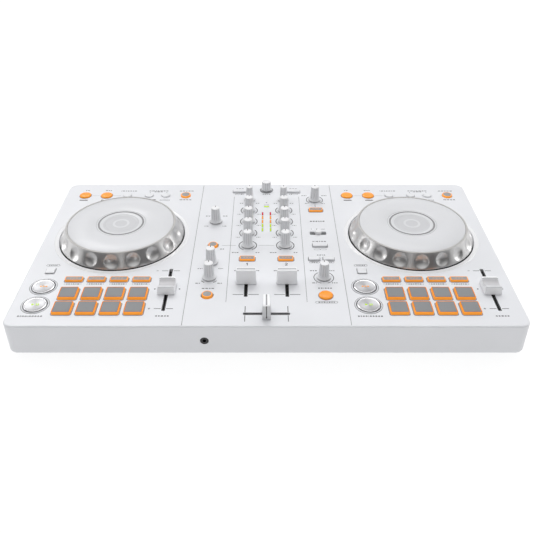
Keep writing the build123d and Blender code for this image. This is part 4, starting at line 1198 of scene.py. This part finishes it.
def make_panel_trim():
    """A raised lip round each jog wheel in a brighter white, a painted highlight; a dark ring round the
    browse knob, a painted shadow under it; and grey strips in the two grooves, painted shade.
    """
    shell = Shell()
    lip = above_panel((67.9, -0.3), (67.9, 0.04), (71.2, 0.1), (71.6, 0.28), (72.1, 0.26), (72.4, 0.05),
                      (72.5, -0.3))
    for x, y in JOGS.values():
        shell.hoop(lip, x, y, 192)
    # The lips are a brighter white than the panel: a painted highlight.
    piece("jog_well_lips", shell, [LIP_PAINTED_HIGHLIGHT])
    shell = Shell()
    # A dark grey ring round the browse knob: a painted shadow under its skirt.
    collar = above_panel((6.9, -0.3), (6.9, 0.3), (7.1, 0.5), (7.5, 0.5), (7.9, 0.3), (8.0, 0.0), (8.0, -0.3))
    shell.hoop(collar, *place_of("browse_knob"), 96)
    piece("browse_collar_painted_shadow", shell, [COLLAR_PAINTED_SHADE])
    shell = Shell()
    # Grey strips in the grooves: painted shade.
    for side in (-1, 1):
        shell.prism(bar(side * GROOVE_X, 0, 0.64, REAR - FRONT - 5.0), PANEL - 0.49, PANEL - 0.12)
    piece("seam_shadow", shell, [SEAM_PAINTED_SHADE])


def make_slot_painted_shade():
    """Black plates just under the panel's face in each fader slot, up to the lever: painted shade that
    darkens the slot.
    """
    shell = Shell()
    wide, off = 1.05, 1.25    # the width of a plate and how far its middle lies from the slot's
    crossfader, channel, tempo = 43.2, 46.3, 67.3
    slot_shades = [("crossfader_cap", crossfader, wide, 0.0, off)]
    slot_shades += [(f"channel_fader_cap_{n}", wide, channel, off, 0.0) for n in (1, 2)]
    slot_shades += [(f"tempo_fader_cap_{n}", wide, tempo, off, 0.0) for n in (1, 2)]
    for node, w, h, dx, dy in slot_shades:
        x, y = place_of(node)
        for side in (-1, 1):
            shell.prism(bar(x + side * dx, y + side * dy, w, h), PANEL - 0.55, PANEL - 0.2)
    piece("fader_slot_painted_shade", shell, [BLACK])


JACK_X = (-14.0, 6.0)
JACK_Z = 19.8
HEADPHONE_Z = PANEL - 17.0


def make_connector_details():
    """Insulators in the line-out jacks and a dark collar in the headphone jack."""
    shell = Shell()
    rear = box_mm("rca_jacks")[1].y
    tube = [(3.2, rear - 0.6), (3.2, rear + 0.15), (1.75, rear + 0.15), (1.75, rear - 0.6)]
    for kind, x in enumerate(JACK_X):
        shell.sleeve(tube, x, JACK_Z, kind)
    piece("jack_insulators", shell, [WHITE_RING, RED_RING])
    shell = Shell()
    collar = [(2.7, 0.25), (2.7, 0.08), (2.4, 0.02), (1.85, 0.08), (1.82, 3.0), (2.0, 3.0)]
    shell.sleeve([(r, FRONT + y) for r, y in collar], place_of("headphone_jack")[0], HEADPHONE_Z)
    piece("headphone_collar", shell, [CONTROL])


# ================================================================ stage, lights and camera
STAGE_R = 6.0
STAGE_STEPS = 24


def stage_circle(radius, z):
    return [(radius * cos(a), radius * sin(a), z) for a in full_turn(STAGE_STEPS)]


def stage_piece(name, points, shade, glow):
    """A matt mesh on rings of points, partly lit from within."""
    mesh = bpy.data.meshes.new(name)
    faces = []
    for start in range(0, len(points) - STAGE_STEPS, STAGE_STEPS):
        for i in range(STAGE_STEPS):
            a, b = start + i, start + (i + 1) % STAGE_STEPS
            faces.append((a, a + STAGE_STEPS, b + STAGE_STEPS, b))
    mesh.from_pydata(points, [], faces)
    mat = bpy.data.materials.new(name + "_pale")
    mat.use_nodes = True
    inputs = mat.node_tree.nodes["Principled BSDF"].inputs
    inputs["Base Color"].default_value = (shade, shade, shade, 1.0)
    inputs["Emission Color"].default_value = (1.0, 1.0, 1.0, 1.0)
    inputs["Emission Strength"].default_value = glow
    inputs["Roughness"].default_value = 0.9
    inputs["Specular IOR Level"].default_value = 0.1
    mesh.materials.append(mat)
    obj = bpy.data.objects.new(name, mesh)
    bpy.context.scene.collection.objects.link(obj)
    return obj


def make_stage():
    """A pale floor, and far round it a pale wall that only the camera sees, so it leaves the light alone."""
    radii = (0.001, STAGE_R * 0.25, STAGE_R * 0.5, STAGE_R)
    stage_piece("floor", [p for r in radii for p in stage_circle(r, 0.0)], 0.22, 0.85)
    wall = stage_piece("backdrop", [p for z in (-0.01, 9.0) for p in stage_circle(STAGE_R, z)], 0.0, 1.0)
    wall.visible_diffuse = False
    wall.visible_glossy = False
    wall.visible_shadow = False


def make_world():
    """A studio that is bright overhead and darkens towards the floor in front, so metal shows its shape."""
    world = bpy.data.worlds.new("studio")
    bpy.context.scene.world = world
    world.use_nodes = True
    tree = world.node_tree
    tree.nodes.clear()
    split = add_node(tree, "ShaderNodeSeparateXYZ", {0: coordinates(tree, "Generated")})
    behind = spread(tree, split.outputs[1], -0.1, 0.6)
    low = mixed(tree, behind, opaque((0.10, 0.10, 0.103)), opaque((0.90, 0.90, 0.92)))
    up = spread(tree, split.outputs[2], 0.5, 1.0)
    sky = mixed(tree, up, low, opaque((1.0, 1.0, 1.0)))
    back = add_node(tree, "ShaderNodeBackground", {"Strength": 1.06, "Color": sky})
    add_node(tree, "ShaderNodeOutputWorld", {0: back.outputs[0]})


def area_light(name, place, target, size, power, card=False, fill=False):
    """A softbox; a card is seen in reflections only, and a fill only lights what is dull."""
    light = bpy.data.lights.new(name, "AREA")
    light.shape = "RECTANGLE"
    light.size, light.size_y = size
    light.energy = power
    obj = bpy.data.objects.new(name, light)
    obj.location = place
    obj.rotation_euler = (Vector(target) - Vector(place)).to_track_quat("-Z", "Y").to_euler()
    obj.visible_diffuse = not card
    obj.visible_glossy = not fill
    obj.visible_camera = False
    bpy.context.scene.collection.objects.link(obj)


def make_lights():
    area_light("rear_softbox", (0.0, 1.0, 1.5), (0.0, 0.0, 0.04), (1.4, 0.7), 8.9)
    area_light("left_strip", (-1.25, 0.2, 0.45), (0.0, 0.0, 0.05), (0.3, 0.55), 1.6)
    area_light("right_strip", (1.25, 0.35, 0.45), (0.0, 0.0, 0.05), (0.3, 0.55), 1.6)
    area_light("front_softbox", (0.1, -1.6, 1.0), (0.0, 0.0, 0.05), (1.2, 0.6), 4.2, fill=True)
    area_light("left_card", (-1.35, 0.05, 0.32), (0.0, 0.0, 0.06), (1.1, 0.4), 1.2, card=True)
    area_light("right_card", (1.35, 0.05, 0.32), (0.0, 0.0, 0.06), (1.1, 0.4), 1.2, card=True)
    area_light("front_card", (-0.04, -1.4, 0.5), (0.0, 0.0, 0.06), (0.22, 0.45), 0.6, card=True)
    area_light("key_card", (-0.7, 0.9, 1.1), (0.0, 0.0, 0.05), (0.45, 0.45), 3.0, card=True)


def make_camera():
    data = bpy.data.cameras.new("camera")
    data.lens = 45.0
    data.sensor_width = 36.0
    data.dof.use_dof = False
    camera = bpy.data.objects.new("camera", data)
    camera.location = (0.0, -0.5984, PANEL * MM + 0.38865)
    camera.rotation_euler = (radians(55.1), 0.0, 0.0)
    bpy.context.scene.collection.objects.link(camera)
    bpy.context.scene.camera = camera


make_camera()
dress_kept_nodes()
make_keys()
make_jog_wheels()
make_knobs()
make_fader_caps()
make_effect_switch()
make_marks()
make_key_gap_painted_shade()
make_meters()
make_bezels()
make_panel_trim()
make_slot_painted_shade()
make_connector_details()
make_stage()
make_world()
make_lights()
bpy.context.scene.view_settings.view_transform = "Standard"
